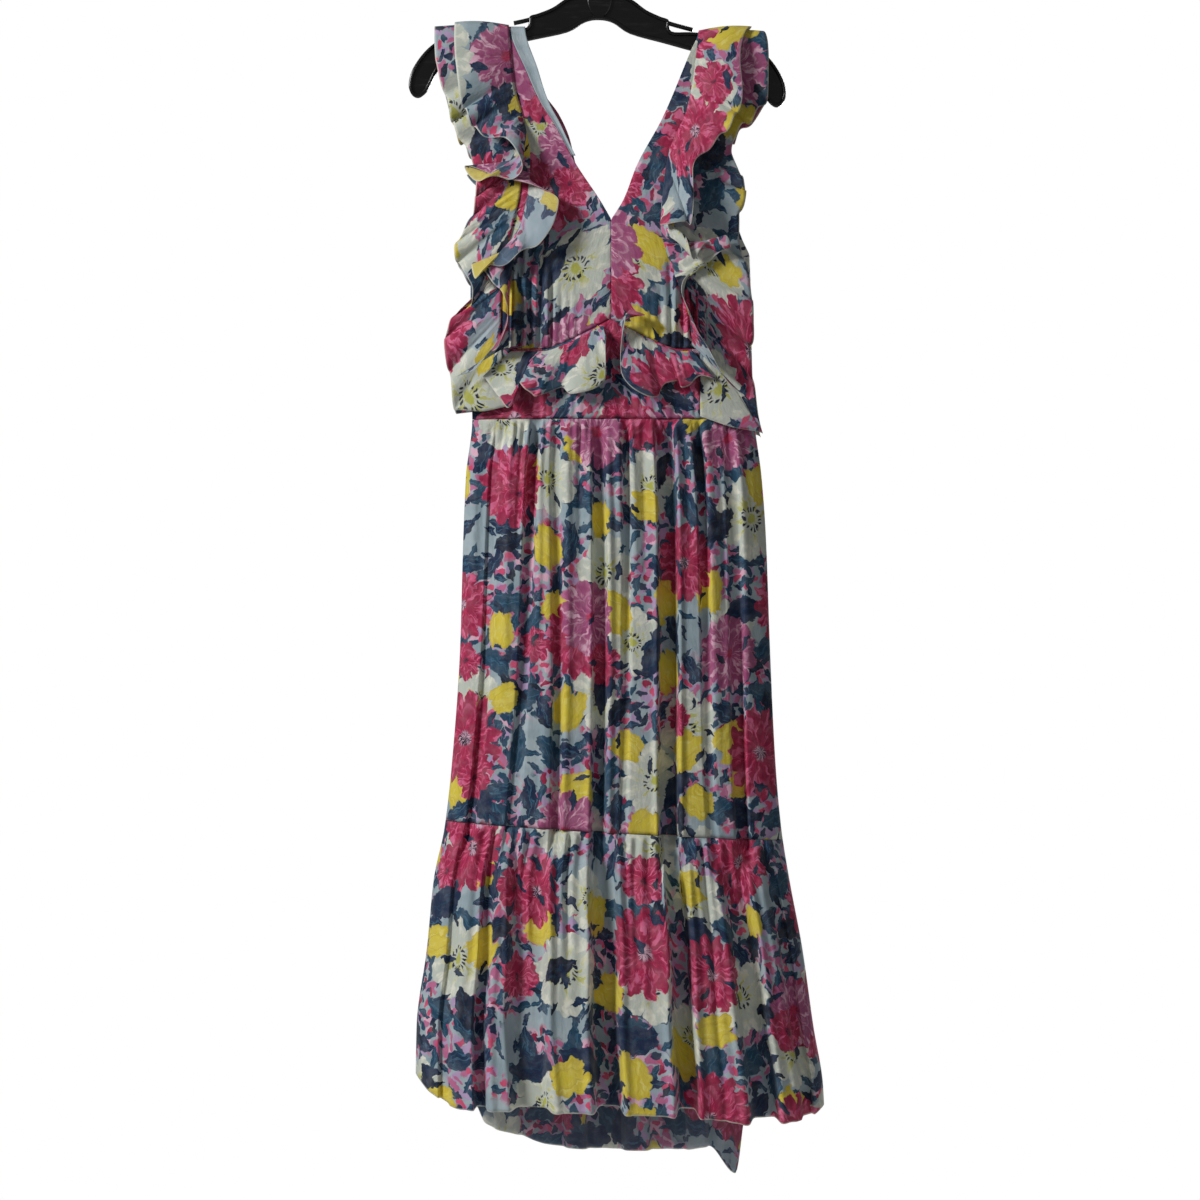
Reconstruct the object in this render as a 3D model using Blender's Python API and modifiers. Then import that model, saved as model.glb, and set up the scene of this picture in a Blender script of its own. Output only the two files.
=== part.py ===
"""A sleeveless maxi dress with ruffled straps, hanging on a moulded hanger.

Metres, +Z up, the front towards -Y. The origin is where the hook bears on what holds it up.
Tables are in millimetres: "drop" is the distance below the origin, "x" is to the viewer's right
of the hook and "y" is the depth, negative towards the viewer.
"""

import math
from collections import namedtuple

import bpy
import numpy as np

MM = 0.001

# Driving dimensions, in millimetres
HANGER_DEPTH = 10.0
HANGER_ROUNDING = 3.5
HANGER_TILT = math.radians(1.5)
HOOK_WIRE = 4.4
HOOK_BEND = 17.0
HOOK_STEM_END = 75.5
HOOK_FREE_END = -115.0
CLOTH = 1.2
SEAM_GAP = 0.6
SIDE_GAP = 0.9
LAID_ON = 1.8
STRAP_BEND = 8.6
STRAP_END = 250.0
BODICE_FULLNESS = 2.6
BODICE_GATHER_DEPTH = 1.8
BODICE_GATHER_TOP = 400.0
BODICE_GATHER_PLACE = 0.52
BODICE_GATHER_SPREAD = 0.24

Level = namedtuple("Level", "drop left right front back")
Fold = namedtuple("Fold", "top low width top_depth low_depth")
Edge = namedtuple("Edge", "seam x drop y")
Seam = namedtuple("Seam", "drop x")

# Body sections: where the side seams lie and how deep the front and the back stand at the middle
BODY = (
    Level(120, -153, 168, 9, 9),
    Level(240, -152, 168, 17, 14),
    Level(376, -151, 169, 25, 21),
    Level(440, -151, 171, 26, 22),
    Level(504, -152, 172, 24, 21),
    Level(584, -149, 175, 22, 20),
    Level(647, -156, 183, 29, 26),
    Level(713, -159, 188, 34, 30),
    Level(848, -163, 193, 40, 36),
    Level(975, -172, 199, 46, 42),
    Level(1054, -181, 206, 52, 46),
    Level(1111, -193, 215, 60, 52),
    Level(1191, -201, 230, 68, 58),
    Level(1282, -213, 243, 76, 66),
    Level(1350, -214, 254, 80, 70),
    Level(1460, -214, 258, 82, 72),
)

# Necklines, from the strap down to the point of the V, where the centre seam starts
CENTRE_X = 10.5
UNDERARM_DROP = 394.0
FRONT_NECK_LEFT = (
    Seam(120, -107), Seam(140, -105), Seam(185, -87), Seam(221, -71),
    Seam(246, -55), Seam(294, -29), Seam(335, -2), Seam(356, CENTRE_X - SEAM_GAP / 2),
)
FRONT_NECK_RIGHT = (
    Seam(120, 112), Seam(142, 110), Seam(161, 102), Seam(240, 69),
    Seam(294, 40), Seam(335, 24), Seam(356, CENTRE_X + SEAM_GAP / 2),
)
BACK_NECK_LEFT = (
    Seam(120, -96), Seam(140, -93), Seam(205, -68), Seam(230, -50),
    Seam(256, -38), Seam(292, -29), Seam(335, -4), Seam(368, CENTRE_X - SEAM_GAP / 2),
)
BACK_NECK_RIGHT = (
    Seam(120, 114), Seam(142, 112), Seam(161, 105), Seam(240, 73),
    Seam(294, 45), Seam(335, 27), Seam(368, CENTRE_X + SEAM_GAP / 2),
)
# Armhole edges of the bodice, from the shoulder to the underarm
ARMHOLE_LEFT = (
    Seam(120, -151), Seam(200, -141), Seam(260, -132), Seam(315, -130), Seam(352, -134),
    Seam(380, -144), Seam(UNDERARM_DROP, -151),
)
ARMHOLE_RIGHT = (
    Seam(120, 166), Seam(200, 152), Seam(256, 143), Seam(290, 142), Seam(340, 149),
    Seam(376, 160), Seam(UNDERARM_DROP, 169),
)
SHOULDER_DROP = {"left": 132.1, "right": 138.4}
# The strip of lining beside the left strap: its width narrows down its length
LINING_START = 1.6
LINING_LENGTH = 156.0
LINING_WIDTH = (Seam(120, 16), Seam(150, 15.5), Seam(215, 9), Seam(270, 3.5), Seam(290, 3))

# The raised seam under the bust peaks at the centre front, and the waist seam is nearly level
RAISED_SEAM = 504.0
RAISED_PEAK = 34.0
RAISED_HALF_WIDTH = 74.0
WAIST_SEAM = 584.0
TIER_SEAM_LEFT = 1044.0
TIER_SEAM_RIGHT = 1066.0

# Largest folds, as valleys: place across the panel (0 left seam, 1 right seam) at its top and bottom
SKIRT_FRONT_FOLDS = (
    Fold(0.10, 0.08, 6, 5, 8),
    Fold(0.227, 0.20, 7, 12, 6),
    Fold(0.30, 0.33, 6, 4, 10),
    Fold(0.448, 0.455, 8, 9, 15),
    Fold(0.544, 0.53, 5, 8, 3),
    Fold(0.678, 0.664, 11, 14, 22),
    Fold(0.792, 0.79, 6, 11, 4),
    Fold(0.90, 0.88, 8, 5, 12),
)
SKIRT_BACK_FOLDS = (
    Fold(0.10, 0.10, 8, 6, 8),
    Fold(0.26, 0.24, 10, 9, 13),
    Fold(0.42, 0.43, 8, 6, 10),
    Fold(0.58, 0.57, 11, 9, 15),
    Fold(0.74, 0.75, 8, 6, 10),
    Fold(0.89, 0.90, 9, 5, 8),
)
TIER_FRONT_FOLDS = (
    Fold(0.07, 0.075, 6, 4, 8),
    Fold(0.155, 0.165, 7, 6, 16),
    Fold(0.262, 0.287, 21, 9, 22),
    Fold(0.477, 0.474, 15, 13, 32),
    Fold(0.683, 0.661, 12, 16, 36),
    Fold(0.84, 0.848, 16, 8, 28),
    Fold(0.945, 0.955, 7, 5, 14),
)
TIER_BACK_FOLDS = (
    Fold(0.08, 0.08, 8, 4, 14),
    Fold(0.22, 0.22, 15, 9, 24),
    Fold(0.38, 0.39, 13, 9, 26),
    Fold(0.54, 0.54, 16, 10, 30),
    Fold(0.70, 0.69, 13, 9, 27),
    Fold(0.86, 0.87, 14, 7, 20),
)
# The power that sets how steep a valley's sides are and how flat its floor is
FOLD_STEEPNESS = 4
TIER_GATHERS = 24
TIER_GATHER_DEPTH = 3.0
TIER_GATHER_LENGTH = 60.0
TIER_FOLD_START = 0.16
TIER_PUFF = 3.0
HEM_LIFT = 0.12

# Hems: drop at each share of the width, high at the sides, with a corner hanging at the back
Hem = namedtuple("Hem", "share drop")
HEM_FRONT = (
    Hem(0.00, 1334), Hem(0.04, 1350), Hem(0.12, 1366), Hem(0.30, 1366), Hem(0.50, 1368),
    Hem(0.68, 1372), Hem(0.85, 1382), Hem(0.95, 1380), Hem(1.00, 1370),
)
HEM_BACK = (
    Hem(0.00, 1334), Hem(0.06, 1351), Hem(0.135, 1376), Hem(0.165, 1404), Hem(0.25, 1418),
    Hem(0.31, 1430), Hem(0.45, 1436), Hem(0.64, 1437), Hem(0.72, 1432), Hem(0.785, 1464),
    Hem(0.815, 1392), Hem(0.90, 1378), Hem(1.00, 1370),
)

# Seams that carry the ruffles, down the front from the shoulder; the back repeats them
INNER_SEAM_LEFT = (
    Seam(120, -108), Seam(202, -100), Seam(229, -93), Seam(258, -86), Seam(285, -82),
    Seam(320, -84), Seam(360, -92), Seam(400, -101), Seam(446, -106), Seam(501, -107),
)
INNER_SEAM_RIGHT = (
    Seam(120, 113), Seam(182, 106), Seam(230, 97), Seam(262, 83), Seam(278, 77),
    Seam(312, 71), Seam(363, 67), Seam(402, 76), Seam(439, 90), Seam(475, 101), Seam(501, 103),
)
OUTER_SEAM_SHIFT = 9.0
INNER_HUMP = 3.0
OUTER_HUMP = 1.0

# Free edges of the ruffles: share of the way down their seam, and where the edge goes
INNER_EDGE_LEFT = (
    Edge(0.00, -169, 127, 0), Edge(0.02, -169, 131, -11), Edge(0.045, -169, 144, -19),
    Edge(0.09, -168, 168, -25), Edge(0.16, -162, 215, -31),
    Edge(0.22, -152, 243, -33), Edge(0.27, -136, 262, -34), Edge(0.30, -112, 268, -43),
    Edge(0.34, -90, 297, -48), Edge(0.37, -110, 314, -38), Edge(0.40, -137, 313, -32),
    Edge(0.43, -157, 298, -28), Edge(0.46, -128, 306, -30), Edge(0.49, -78, 318, -40),
    Edge(0.52, -49, 338, -46), Edge(0.55, -54, 364, -48), Edge(0.58, -72, 386, -46),
    Edge(0.61, -97, 402, -43), Edge(0.64, -125, 412, -40), Edge(0.67, -143, 425, -35),
    Edge(0.70, -149, 408, -30), Edge(0.73, -134, 418, -32), Edge(0.77, -118, 438, -42),
    Edge(0.81, -107, 458, -46), Edge(0.86, -107, 478, -46), Edge(0.91, -117, 498, -43),
    Edge(0.96, -140, 524, -38), Edge(1.00, -168, 540, -32),
)
INNER_EDGE_RIGHT = (
    Edge(0.00, 172, 132, 0), Edge(0.02, 168, 136, -12), Edge(0.045, 161, 150, -21),
    Edge(0.08, 158, 172, -27), Edge(0.14, 160, 212, -33),
    Edge(0.20, 153, 240, -36), Edge(0.27, 126, 274, -40), Edge(0.33, 103, 303, -44),
    Edge(0.38, 104, 335, -48), Edge(0.43, 98, 366, -50), Edge(0.48, 66, 364, -42),
    Edge(0.52, 82, 350, -31), Edge(0.56, 82, 368, -34), Edge(0.60, 94, 381, -43),
    Edge(0.64, 107, 404, -48), Edge(0.68, 120, 382, -36), Edge(0.72, 140, 378, -34),
    Edge(0.76, 147, 388, -36), Edge(0.80, 122, 404, -31), Edge(0.84, 98, 424, -36),
    Edge(0.88, 90, 442, -44), Edge(0.91, 102, 468, -46), Edge(0.94, 118, 504, -46),
    Edge(0.97, 140, 538, -42), Edge(1.00, 166, 566, -34),
)
OUTER_EDGE_LEFT = (
    Edge(0.00, -192, 132, 0), Edge(0.02, -192, 135, -9), Edge(0.045, -192, 148, -13),
    Edge(0.09, -191, 171, -14), Edge(0.18, -177, 223, -15),
    Edge(0.25, -169, 252, -16), Edge(0.32, -153, 278, -18), Edge(0.40, -144, 315, -20),
    Edge(0.48, -147, 345, -17), Edge(0.54, -159, 370, -18), Edge(0.59, -169, 391, -19),
    Edge(0.64, -162, 413, -21), Edge(0.69, -148, 434, -22), Edge(0.73, -151, 456, -20),
    Edge(0.77, -167, 462, -14), Edge(0.81, -176, 477, -13), Edge(0.86, -181, 499, -12),
    Edge(0.92, -174, 536, -13), Edge(0.96, -168, 574, -15), Edge(0.98, -142, 577, -18),
    Edge(1.00, -107, 568, -20),
)
OUTER_EDGE_RIGHT = (
    Edge(0.00, 184, 137, 0), Edge(0.02, 187, 140, -9), Edge(0.045, 190, 152, -13),
    Edge(0.08, 191, 172, -14), Edge(0.13, 190, 213, -15),
    Edge(0.20, 174, 238, -18), Edge(0.27, 154, 258, -22), Edge(0.33, 148, 280, -22),
    Edge(0.39, 159, 304, -18), Edge(0.45, 165, 328, -20), Edge(0.51, 157, 353, -20),
    Edge(0.57, 157, 378, -18), Edge(0.63, 164, 405, -20), Edge(0.69, 170, 434, -22),
    Edge(0.75, 173, 456, -20), Edge(0.81, 174, 488, -16), Edge(0.86, 170, 506, -14),
    Edge(0.91, 173, 538, -17), Edge(0.945, 178, 572, -19), Edge(0.965, 184, 602, -20),
    Edge(0.98, 156, 597, -22), Edge(1.00, 112, 580, -24),
)
WAIST_EDGE_LEFT = (
    Edge(0.00, -136, 536, -24), Edge(0.08, -126, 550, -30), Edge(0.15, -114, 562, -35),
    Edge(0.21, -106, 573, -37), Edge(0.26, -102, 564, -32), Edge(0.31, -110, 545, -27),
    Edge(0.37, -97, 536, -28), Edge(0.44, -87, 553, -36), Edge(0.51, -75, 560, -38),
    Edge(0.58, -65, 556, -32), Edge(0.66, -45, 549, -30), Edge(0.74, -34, 557, -36),
    Edge(0.82, -15, 553, -40), Edge(0.89, 3, 539, -41), Edge(0.95, 7, 517, -38),
    Edge(1.00, 3, 492, -33),
)
WAIST_EDGE_RIGHT = (
    Edge(0.00, 27, 466, -38), Edge(0.07, 21, 500, -40), Edge(0.14, 24, 532, -38),
    Edge(0.23, 38, 553, -40), Edge(0.32, 54, 561, -40), Edge(0.41, 64, 559, -34),
    Edge(0.51, 76, 544, -30), Edge(0.61, 89, 541, -31), Edge(0.71, 91, 550, -37),
    Edge(0.80, 100, 547, -36), Edge(0.90, 114, 536, -30), Edge(1.00, 128, 540, -28),
)

# The short ruffles at the waist: how far below the raised seam they start, and the back's waves
WAIST_ROOT = 3.0
WAIST_HUMP = 2.5
BACK_WAIST_LEFT = -98.0
BACK_WAIST_RIGHT = 99.0
BACK_WAIST_WAVES = 8
BACK_WAIST_FLARE = 1.05
BACK_WAIST_VALLEY = (550.0, 6.0)
BACK_WAIST_RIDGE = (560.0, 15.0)

# Hanger outline, one side, from the neck along the top to the tip and back along the underside
HANGER_SIDE = (
    Seam(76, 13), Seam(84, 15), Seam(94, 26), Seam(102, 40), Seam(112, 54), Seam(119, 70),
    Seam(123, 80), Seam(135.6, 83), Seam(136, 104), Seam(137, 125), Seam(140, 146),
    Seam(144, 166), Seam(153, 184), Seam(167, 200), Seam(187, 213), Seam(205, 217),
    Seam(216, 213), Seam(219, 205), Seam(212, 196), Seam(200, 190), Seam(186, 183),
    Seam(174, 171), Seam(166, 152), Seam(161, 128), Seam(156, 104), Seam(149, 76),
    Seam(139, 36), Seam(127, 16), Seam(124, 0),
)

COLOURS = {
    "print": (0.40, 0.42, 0.46, 1.0),
    "lining": (0.42, 0.50, 0.54, 1.0),
    "plastic": (0.008, 0.008, 0.009, 1.0),
    "steel": (0.55, 0.55, 0.56, 1.0),
}


def smooth(keys, values, at):
    """Values of a curve through a table, without overshoot, at each entry of an array."""
    keys = np.asarray(keys, float)
    values = np.asarray(values, float)
    step = np.diff(keys)
    rise = np.diff(values) / step
    slope = np.zeros(len(keys))
    same_way = rise[:-1] * rise[1:] > 0
    total = 3 * (step[:-1] + step[1:])
    weight_a = 2 * step[1:] + step[:-1]
    weight_b = step[1:] + 2 * step[:-1]
    safe_a = np.where(same_way, rise[:-1], 1.0)
    safe_b = np.where(same_way, rise[1:], 1.0)
    slope[1:-1] = np.where(same_way, total / (weight_a / safe_a + weight_b / safe_b), 0.0)
    slope[0] = rise[0]
    slope[-1] = rise[-1]
    at = np.clip(at, keys[0], keys[-1])
    cell = np.clip(np.searchsorted(keys, at, side="right") - 1, 0, len(step) - 1)
    t = (at - keys[cell]) / step[cell]
    return (
        values[cell] * (2 * t**3 - 3 * t**2 + 1)
        + slope[cell] * step[cell] * (t**3 - 2 * t**2 + t)
        + values[cell + 1] * (3 * t**2 - 2 * t**3)
        + slope[cell + 1] * step[cell] * (t**3 - t**2)
    )


def column(table, name):
    return [getattr(row, name) for row in table]


def level(name, drop):
    return smooth(column(BODY, "drop"), column(BODY, name), drop)


def seam_x(seam, drop):
    return smooth(column(seam, "drop"), column(seam, "x"), drop)


def ease(low, high, value):
    t = np.clip((value - low) / (high - low), 0.0, 1.0)
    return t * t * (3 - 2 * t)


def across(columns):
    """Shares of a panel's width, closer together where it turns into the side seams."""
    t = np.linspace(-1.0, 1.0, columns + 1)
    return 0.5 + 0.5 * (1.35 * t - 0.35 * t**3)


def raised_seam(x):
    near = np.clip(1 - np.abs(x - CENTRE_X) / RAISED_HALF_WIDTH, 0.0, 1.0)
    return RAISED_SEAM - RAISED_PEAK * near**1.2


def body_depth(face, x, drop):
    """Depth of the plain body at a place, before any fold; face is -1 for front, 1 for back."""
    left = level("left", drop)
    right = level("right", drop)
    middle = level("front" if face < 0 else "back", drop)
    share = np.clip(np.abs(2 * (x - left) / (right - left) - 1), 0.0, 1.0)
    side = STRAP_BEND * (1 - ease(STRAP_END, UNDERARM_DROP, drop))
    return face * (side + (middle - side) * np.sqrt(1 - share**BODICE_FULLNESS))


def fold_depth(folds, share, width, along):
    """How far the valleys push a panel in, at a share of its width and of its length."""
    total = 0.0
    for fold in folds:
        place = fold.top + (fold.low - fold.top) * along
        depth = fold.top_depth + (fold.low_depth - fold.top_depth) * ease(0.0, 1.0, along)
        total = total + depth * np.exp(-(((share - place) * width / fold.width) ** FOLD_STEEPNESS))
    return total


def stacked(x, y, drop):
    """Points in metres from three arrays in millimetres."""
    x, y, drop = np.broadcast_arrays(x, y, drop)
    return np.stack([x, y, -drop], axis=-1) * MM


def over_strap(half, path, lift=0.0):
    """Turn over the hanger, then straight down: the angle turned and the drop at each path length."""
    bend = STRAP_BEND * math.pi / 2
    turn = np.clip(path / STRAP_BEND, 0.0, math.pi / 2)
    drop = SHOULDER_DROP[half] - lift + (STRAP_BEND + lift) * (1 - np.cos(turn))
    return turn, drop + np.clip(path - bend, 0.0, None)


def strap_length(half, low):
    return STRAP_BEND * (math.pi / 2 - 1) + low - SHOULDER_DROP[half]


def bodice_surface(face, half, share, run):
    """Bodice half; share is 0 at the armhole and 1 at the neck, run is 0 on the shoulder and 1 below."""
    necks = {
        (-1, "left"): FRONT_NECK_LEFT, (-1, "right"): FRONT_NECK_RIGHT,
        (1, "left"): BACK_NECK_LEFT, (1, "right"): BACK_NECK_RIGHT,
    }
    turn, plain = over_strap(half, run * strap_length(half, RAISED_SEAM - SEAM_GAP / 2))
    neck = seam_x(necks[face, half], plain)
    armhole = seam_x(ARMHOLE_LEFT if half == "left" else ARMHOLE_RIGHT, plain)
    armhole = np.where(plain > UNDERARM_DROP, level(half, plain), armhole)
    x = armhole + (neck - armhole) * share
    peak = raised_seam(x) - RAISED_SEAM if face < 0 else 0.0
    drop = plain + peak * ease(BODICE_GATHER_TOP, RAISED_SEAM, plain)
    y = np.sin(turn) * body_depth(face, x, plain)
    low = np.where(plain > STRAP_END, SIDE_GAP / 2, SEAM_GAP / 2)
    y = np.where(np.abs(y) < low, face * low, y)
    return x, y, drop


def bodice_gathers(face, columns, share, drop):
    """Small gathers above the raised seam."""
    fade = ease(BODICE_GATHER_TOP, RAISED_SEAM, drop)
    place = np.exp(-(((share - BODICE_GATHER_PLACE) / BODICE_GATHER_SPREAD) ** 2))
    wave = np.cos(share * columns * math.pi / 2)
    return -face * BODICE_GATHER_DEPTH * fade * place * wave


def waistband_surface(face, share, run):
    left = level("left", RAISED_SEAM)
    right = level("right", RAISED_SEAM)
    start = raised_seam(left + (right - left) * share) if face < 0 else RAISED_SEAM
    drop = start + SEAM_GAP / 2 + (WAIST_SEAM - SEAM_GAP - start) * run
    left = level("left", drop)
    x = left + (level("right", drop) - left) * share
    return x, closed_depth(face, x, drop), drop


def closed_depth(face, x, drop):
    """Body depth, with half the gap kept where the front and the back meet."""
    y = body_depth(face, x, drop)
    return np.where(np.abs(y) < SIDE_GAP / 2, face * SIDE_GAP / 2, y)


def tier_seam(share):
    return TIER_SEAM_LEFT + (TIER_SEAM_RIGHT - TIER_SEAM_LEFT) * share


def edge_fade(share):
    """Folds die out at the side seams, where the panels meet."""
    return ease(0.0, 0.05, share) * ease(0.0, 0.05, 1 - share)


def skirt_surface(face, share, run):
    folds = SKIRT_FRONT_FOLDS if face < 0 else SKIRT_BACK_FOLDS
    start = WAIST_SEAM + SEAM_GAP / 2
    drop = start + (tier_seam(share) - SEAM_GAP / 2 - start) * run
    left = level("left", drop)
    width = level("right", drop) - left
    x = left + width * share
    push = fold_depth(folds, share, width, run) * ease(-0.02, 0.07, run) * edge_fade(share)
    return x, closed_depth(face, x, drop) - face * push, drop


def hem_drop(face, share):
    hem = HEM_FRONT if face < 0 else HEM_BACK
    return smooth(column(hem, "share"), column(hem, "drop"), share)


def tier_surface(face, columns, share, run):
    folds = TIER_FRONT_FOLDS if face < 0 else TIER_BACK_FOLDS
    upper_folds = SKIRT_FRONT_FOLDS if face < 0 else SKIRT_BACK_FOLDS
    start = tier_seam(share) + SEAM_GAP / 2
    length = hem_drop(face, share) - start
    drop = start + length * run
    left = level("left", drop)
    width = level("right", drop) - left
    x = left + width * share
    own = ease(0.0, TIER_FOLD_START, run)
    push = fold_depth(folds, share, width, run) * own
    push = push + fold_depth(upper_folds, share, width, 1.0) * (1 - own)
    count = np.linspace(0, 1, share.shape[-1]) * columns
    gather = np.cos(count * 2 * math.pi / 4) * TIER_GATHER_DEPTH
    gather = gather * np.exp(-run * length / TIER_GATHER_LENGTH) * ease(0.0, 0.02, run)
    push = (push + gather - TIER_PUFF * own) * edge_fade(share)
    return x, closed_depth(face, x, drop) - face * push, drop - HEM_LIFT * push * ease(0.5, 1.0, run)


def seam_root(face, half, seam, shift, along):
    """Point on the bodice under a ruffle's seam, moved out from its surface; along runs 0 to 1."""
    turn, drop = over_strap(half, along * strap_length(half, RAISED_SEAM - 4.0), LAID_ON)
    x = seam_x(seam, drop) + shift
    y = np.sin(turn) * (body_depth(face, x, drop) + face * LAID_ON)
    return x, y, drop, turn


def ruffle_surface(half, seam, shift, edge, columns, rows, bulge):
    """A strip from its seam to its free edge, up the back, over the shoulder and down the front."""
    whole = [row._replace(seam=-row.seam, y=-row.y) for row in reversed(edge[1:])] + list(edge)
    count = len(edge) - 1
    keys = range(-count, count + 1)
    place = np.linspace(-count, count, columns + 1)[None, :]
    along = rows_of(rows)
    share = smooth(keys, column(whole, "seam"), place)
    front = seam_root(-1, half, seam, shift, np.abs(share))
    back = seam_root(1, half, seam, shift, np.abs(share))
    *root, turn = [np.where(share < 0, b, f) for f, b in zip(front, back)]
    free = [smooth(keys, column(whole, name), place) for name in ("x", "y", "drop")]
    hump = bulge * np.sin(math.pi * along)
    x, y, drop = (a + (b - a) * along for a, b in zip(root, free))
    return x, y - np.sign(share) * np.sin(turn) * hump, drop - np.cos(turn) * hump


def material(name, colour, roughness, metallic=0.0):
    made = bpy.data.materials.new(name)
    made.use_nodes = True
    shader = made.node_tree.nodes["Principled BSDF"]
    shader.inputs["Base Color"].default_value = colour
    shader.inputs["Roughness"].default_value = roughness
    shader.inputs["Metallic"].default_value = metallic
    return made


def mesh_object(name, points, faces, look, collection):
    mesh = bpy.data.meshes.new(name)
    mesh.from_pydata(points, [], faces)
    mesh.materials.append(look)
    mesh.shade_smooth()
    made = bpy.data.objects.new(name, mesh)
    collection.objects.link(made)
    return made


def cloth(name, surface, look, collection, even=True):
    """A wall of cloth on a grid of points, rows down and columns across."""
    grid = stacked(*surface)
    rows, columns = grid.shape[:2]
    faces = [
        (r * columns + c, r * columns + c + 1, (r + 1) * columns + c + 1, (r + 1) * columns + c)
        for r in range(rows - 1)
        for c in range(columns - 1)
    ]
    made = mesh_object(name, grid.reshape(-1, 3).tolist(), faces, look, collection)
    wall = made.modifiers.new("Cloth wall", "SOLIDIFY")
    wall.thickness = CLOTH * MM
    wall.offset = 0.0
    wall.use_even_offset = even
    return made


def rows_of(count):
    return np.linspace(0.0, 1.0, count + 1)[:, None]


def build_bodice(collection, looks):
    plan = {-1: ("front", 22, 9), 1: ("back", 10, 7)}
    for face, (word, columns, rows) in plan.items():
        for half in ("left", "right"):
            share = np.linspace(0.0, 1.0, columns + 1)[None, :]
            run = np.concatenate([[0.0, 0.016, 0.034], np.linspace(0.08, 1.0, rows - 1)])[:, None]
            x, y, drop = bodice_surface(face, half, share, run)
            if face < 0:
                y = y + bodice_gathers(face, columns, share, drop)
            x = np.broadcast_to(x, y.shape)
            cloth(f"bodice_{word}_{half}", (x, y, drop), looks["print"], collection)


def build_neck_lining(collection, looks):
    """The strip of lining that shows beside the left strap, from the shoulder down its edge."""
    share = np.linspace(0.0, 1.0, 3)[None, :]
    path = np.concatenate([[1.0, 5.0, 9.0], np.linspace(14.0, LINING_LENGTH, 8)])[:, None]
    turn, drop = over_strap("left", path)
    width = seam_x(LINING_WIDTH, drop)
    x = seam_x(FRONT_NECK_LEFT, drop) + LINING_START + width * share
    y = np.sin(turn) * body_depth(-1, x, drop) + 0.8 * share
    cloth("neck_lining_left", (x, y, drop), looks["lining"], collection)


def build_waistband(collection, looks):
    for face, word, columns in ((-1, "front", 32), (1, "back", 20)):
        surface = waistband_surface(face, across(columns)[None, :], rows_of(1))
        cloth(f"waistband_{word}", surface, looks["print"], collection)


def build_skirt(collection, looks):
    for face, word, columns, rows in ((-1, "front", 46, 7), (1, "back", 34, 5)):
        surface = skirt_surface(face, across(columns)[None, :], rows_of(rows) ** 1.2)
        cloth(f"skirt_{word}", surface, looks["print"], collection)


def build_tier(collection, looks):
    for face, word, columns, rows in ((-1, "front", 4 * TIER_GATHERS, 4), (1, "back", 56, 4)):
        run = rows_of(rows) ** 1.3
        surface = tier_surface(face, columns, across(columns)[None, :], run)
        cloth(f"tier_{word}", surface, looks["print"], collection)


def build_ruffles(collection, looks):
    seams = {"left": (INNER_SEAM_LEFT, -OUTER_SEAM_SHIFT), "right": (INNER_SEAM_RIGHT, OUTER_SEAM_SHIFT)}
    edges = {
        "left": (INNER_EDGE_LEFT, OUTER_EDGE_LEFT),
        "right": (INNER_EDGE_RIGHT, OUTER_EDGE_RIGHT),
    }
    for half, (seam, shift) in seams.items():
        inner, outer = edges[half]
        surface = ruffle_surface(half, seam, 0.0, inner, 84, 2, INNER_HUMP)
        cloth(f"ruffle_inner_{half}", surface, looks["print"], collection, even=False)
        surface = ruffle_surface(half, seam, shift, outer, 60, 2, OUTER_HUMP)
        cloth(f"ruffle_outer_{half}", surface, looks["print"], collection, even=False)


def waist_ruffle(face, edge, start, end, columns, rows):
    """A short ruffle hanging from the raised seam between two places across."""
    count = len(edge) - 1
    place = np.linspace(0.0, count, columns + 1)[None, :]
    keys = range(len(edge))
    x = start + (end - start) * smooth(keys, column(edge, "seam"), place)
    drop = (raised_seam(x) if face < 0 else x * 0 + RAISED_SEAM) + WAIST_ROOT
    y = body_depth(face, x, drop) + face * LAID_ON
    free = [smooth(keys, column(edge, name), place) for name in ("x", "y", "drop")]
    along = rows_of(rows)
    hump = face * WAIST_HUMP * np.sin(math.pi * along)
    root = (x, y, drop)
    x, y, drop = (a + (b - a) * along for a, b in zip(root, free))
    return x, y + hump, drop


def back_waist_edge():
    """The back's waist ruffle falls in even waves."""
    count = 2 * BACK_WAIST_WAVES
    rows = []
    for i in range(count + 1):
        share = i / count
        drop, out = BACK_WAIST_RIDGE if i % 2 else BACK_WAIST_VALLEY
        x = BACK_WAIST_LEFT + (BACK_WAIST_RIGHT - BACK_WAIST_LEFT) * share
        depth = float(body_depth(1, np.array(x), np.array(WAIST_SEAM))) + out
        rows.append(Edge(share, x * BACK_WAIST_FLARE, drop, depth))
    return tuple(rows)


def build_waist_ruffles(collection, looks):
    left = waist_ruffle(-1, WAIST_EDGE_LEFT, -104.0, 1.0, 40, 2)
    cloth("ruffle_waist_front_left", left, looks["print"], collection, even=False)
    right = waist_ruffle(-1, WAIST_EDGE_RIGHT, 19.0, 104.0, 36, 2)
    cloth("ruffle_waist_front_right", right, looks["print"], collection, even=False)
    back = waist_ruffle(1, back_waist_edge(), BACK_WAIST_LEFT, BACK_WAIST_RIGHT, 40, 2)
    cloth("ruffle_waist_back", back, looks["print"], collection, even=False)


def curve_object(name, points, cyclic, look, collection):
    curve = bpy.data.curves.new(name, "CURVE")
    spline = curve.splines.new("POLY")
    spline.points.add(len(points) - 1)
    for target, point in zip(spline.points, points):
        target.co = (*point, 1.0)
    spline.use_cyclic_u = cyclic
    curve.materials.append(look)
    made = bpy.data.objects.new(name, curve)
    collection.objects.link(made)
    return made


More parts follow.
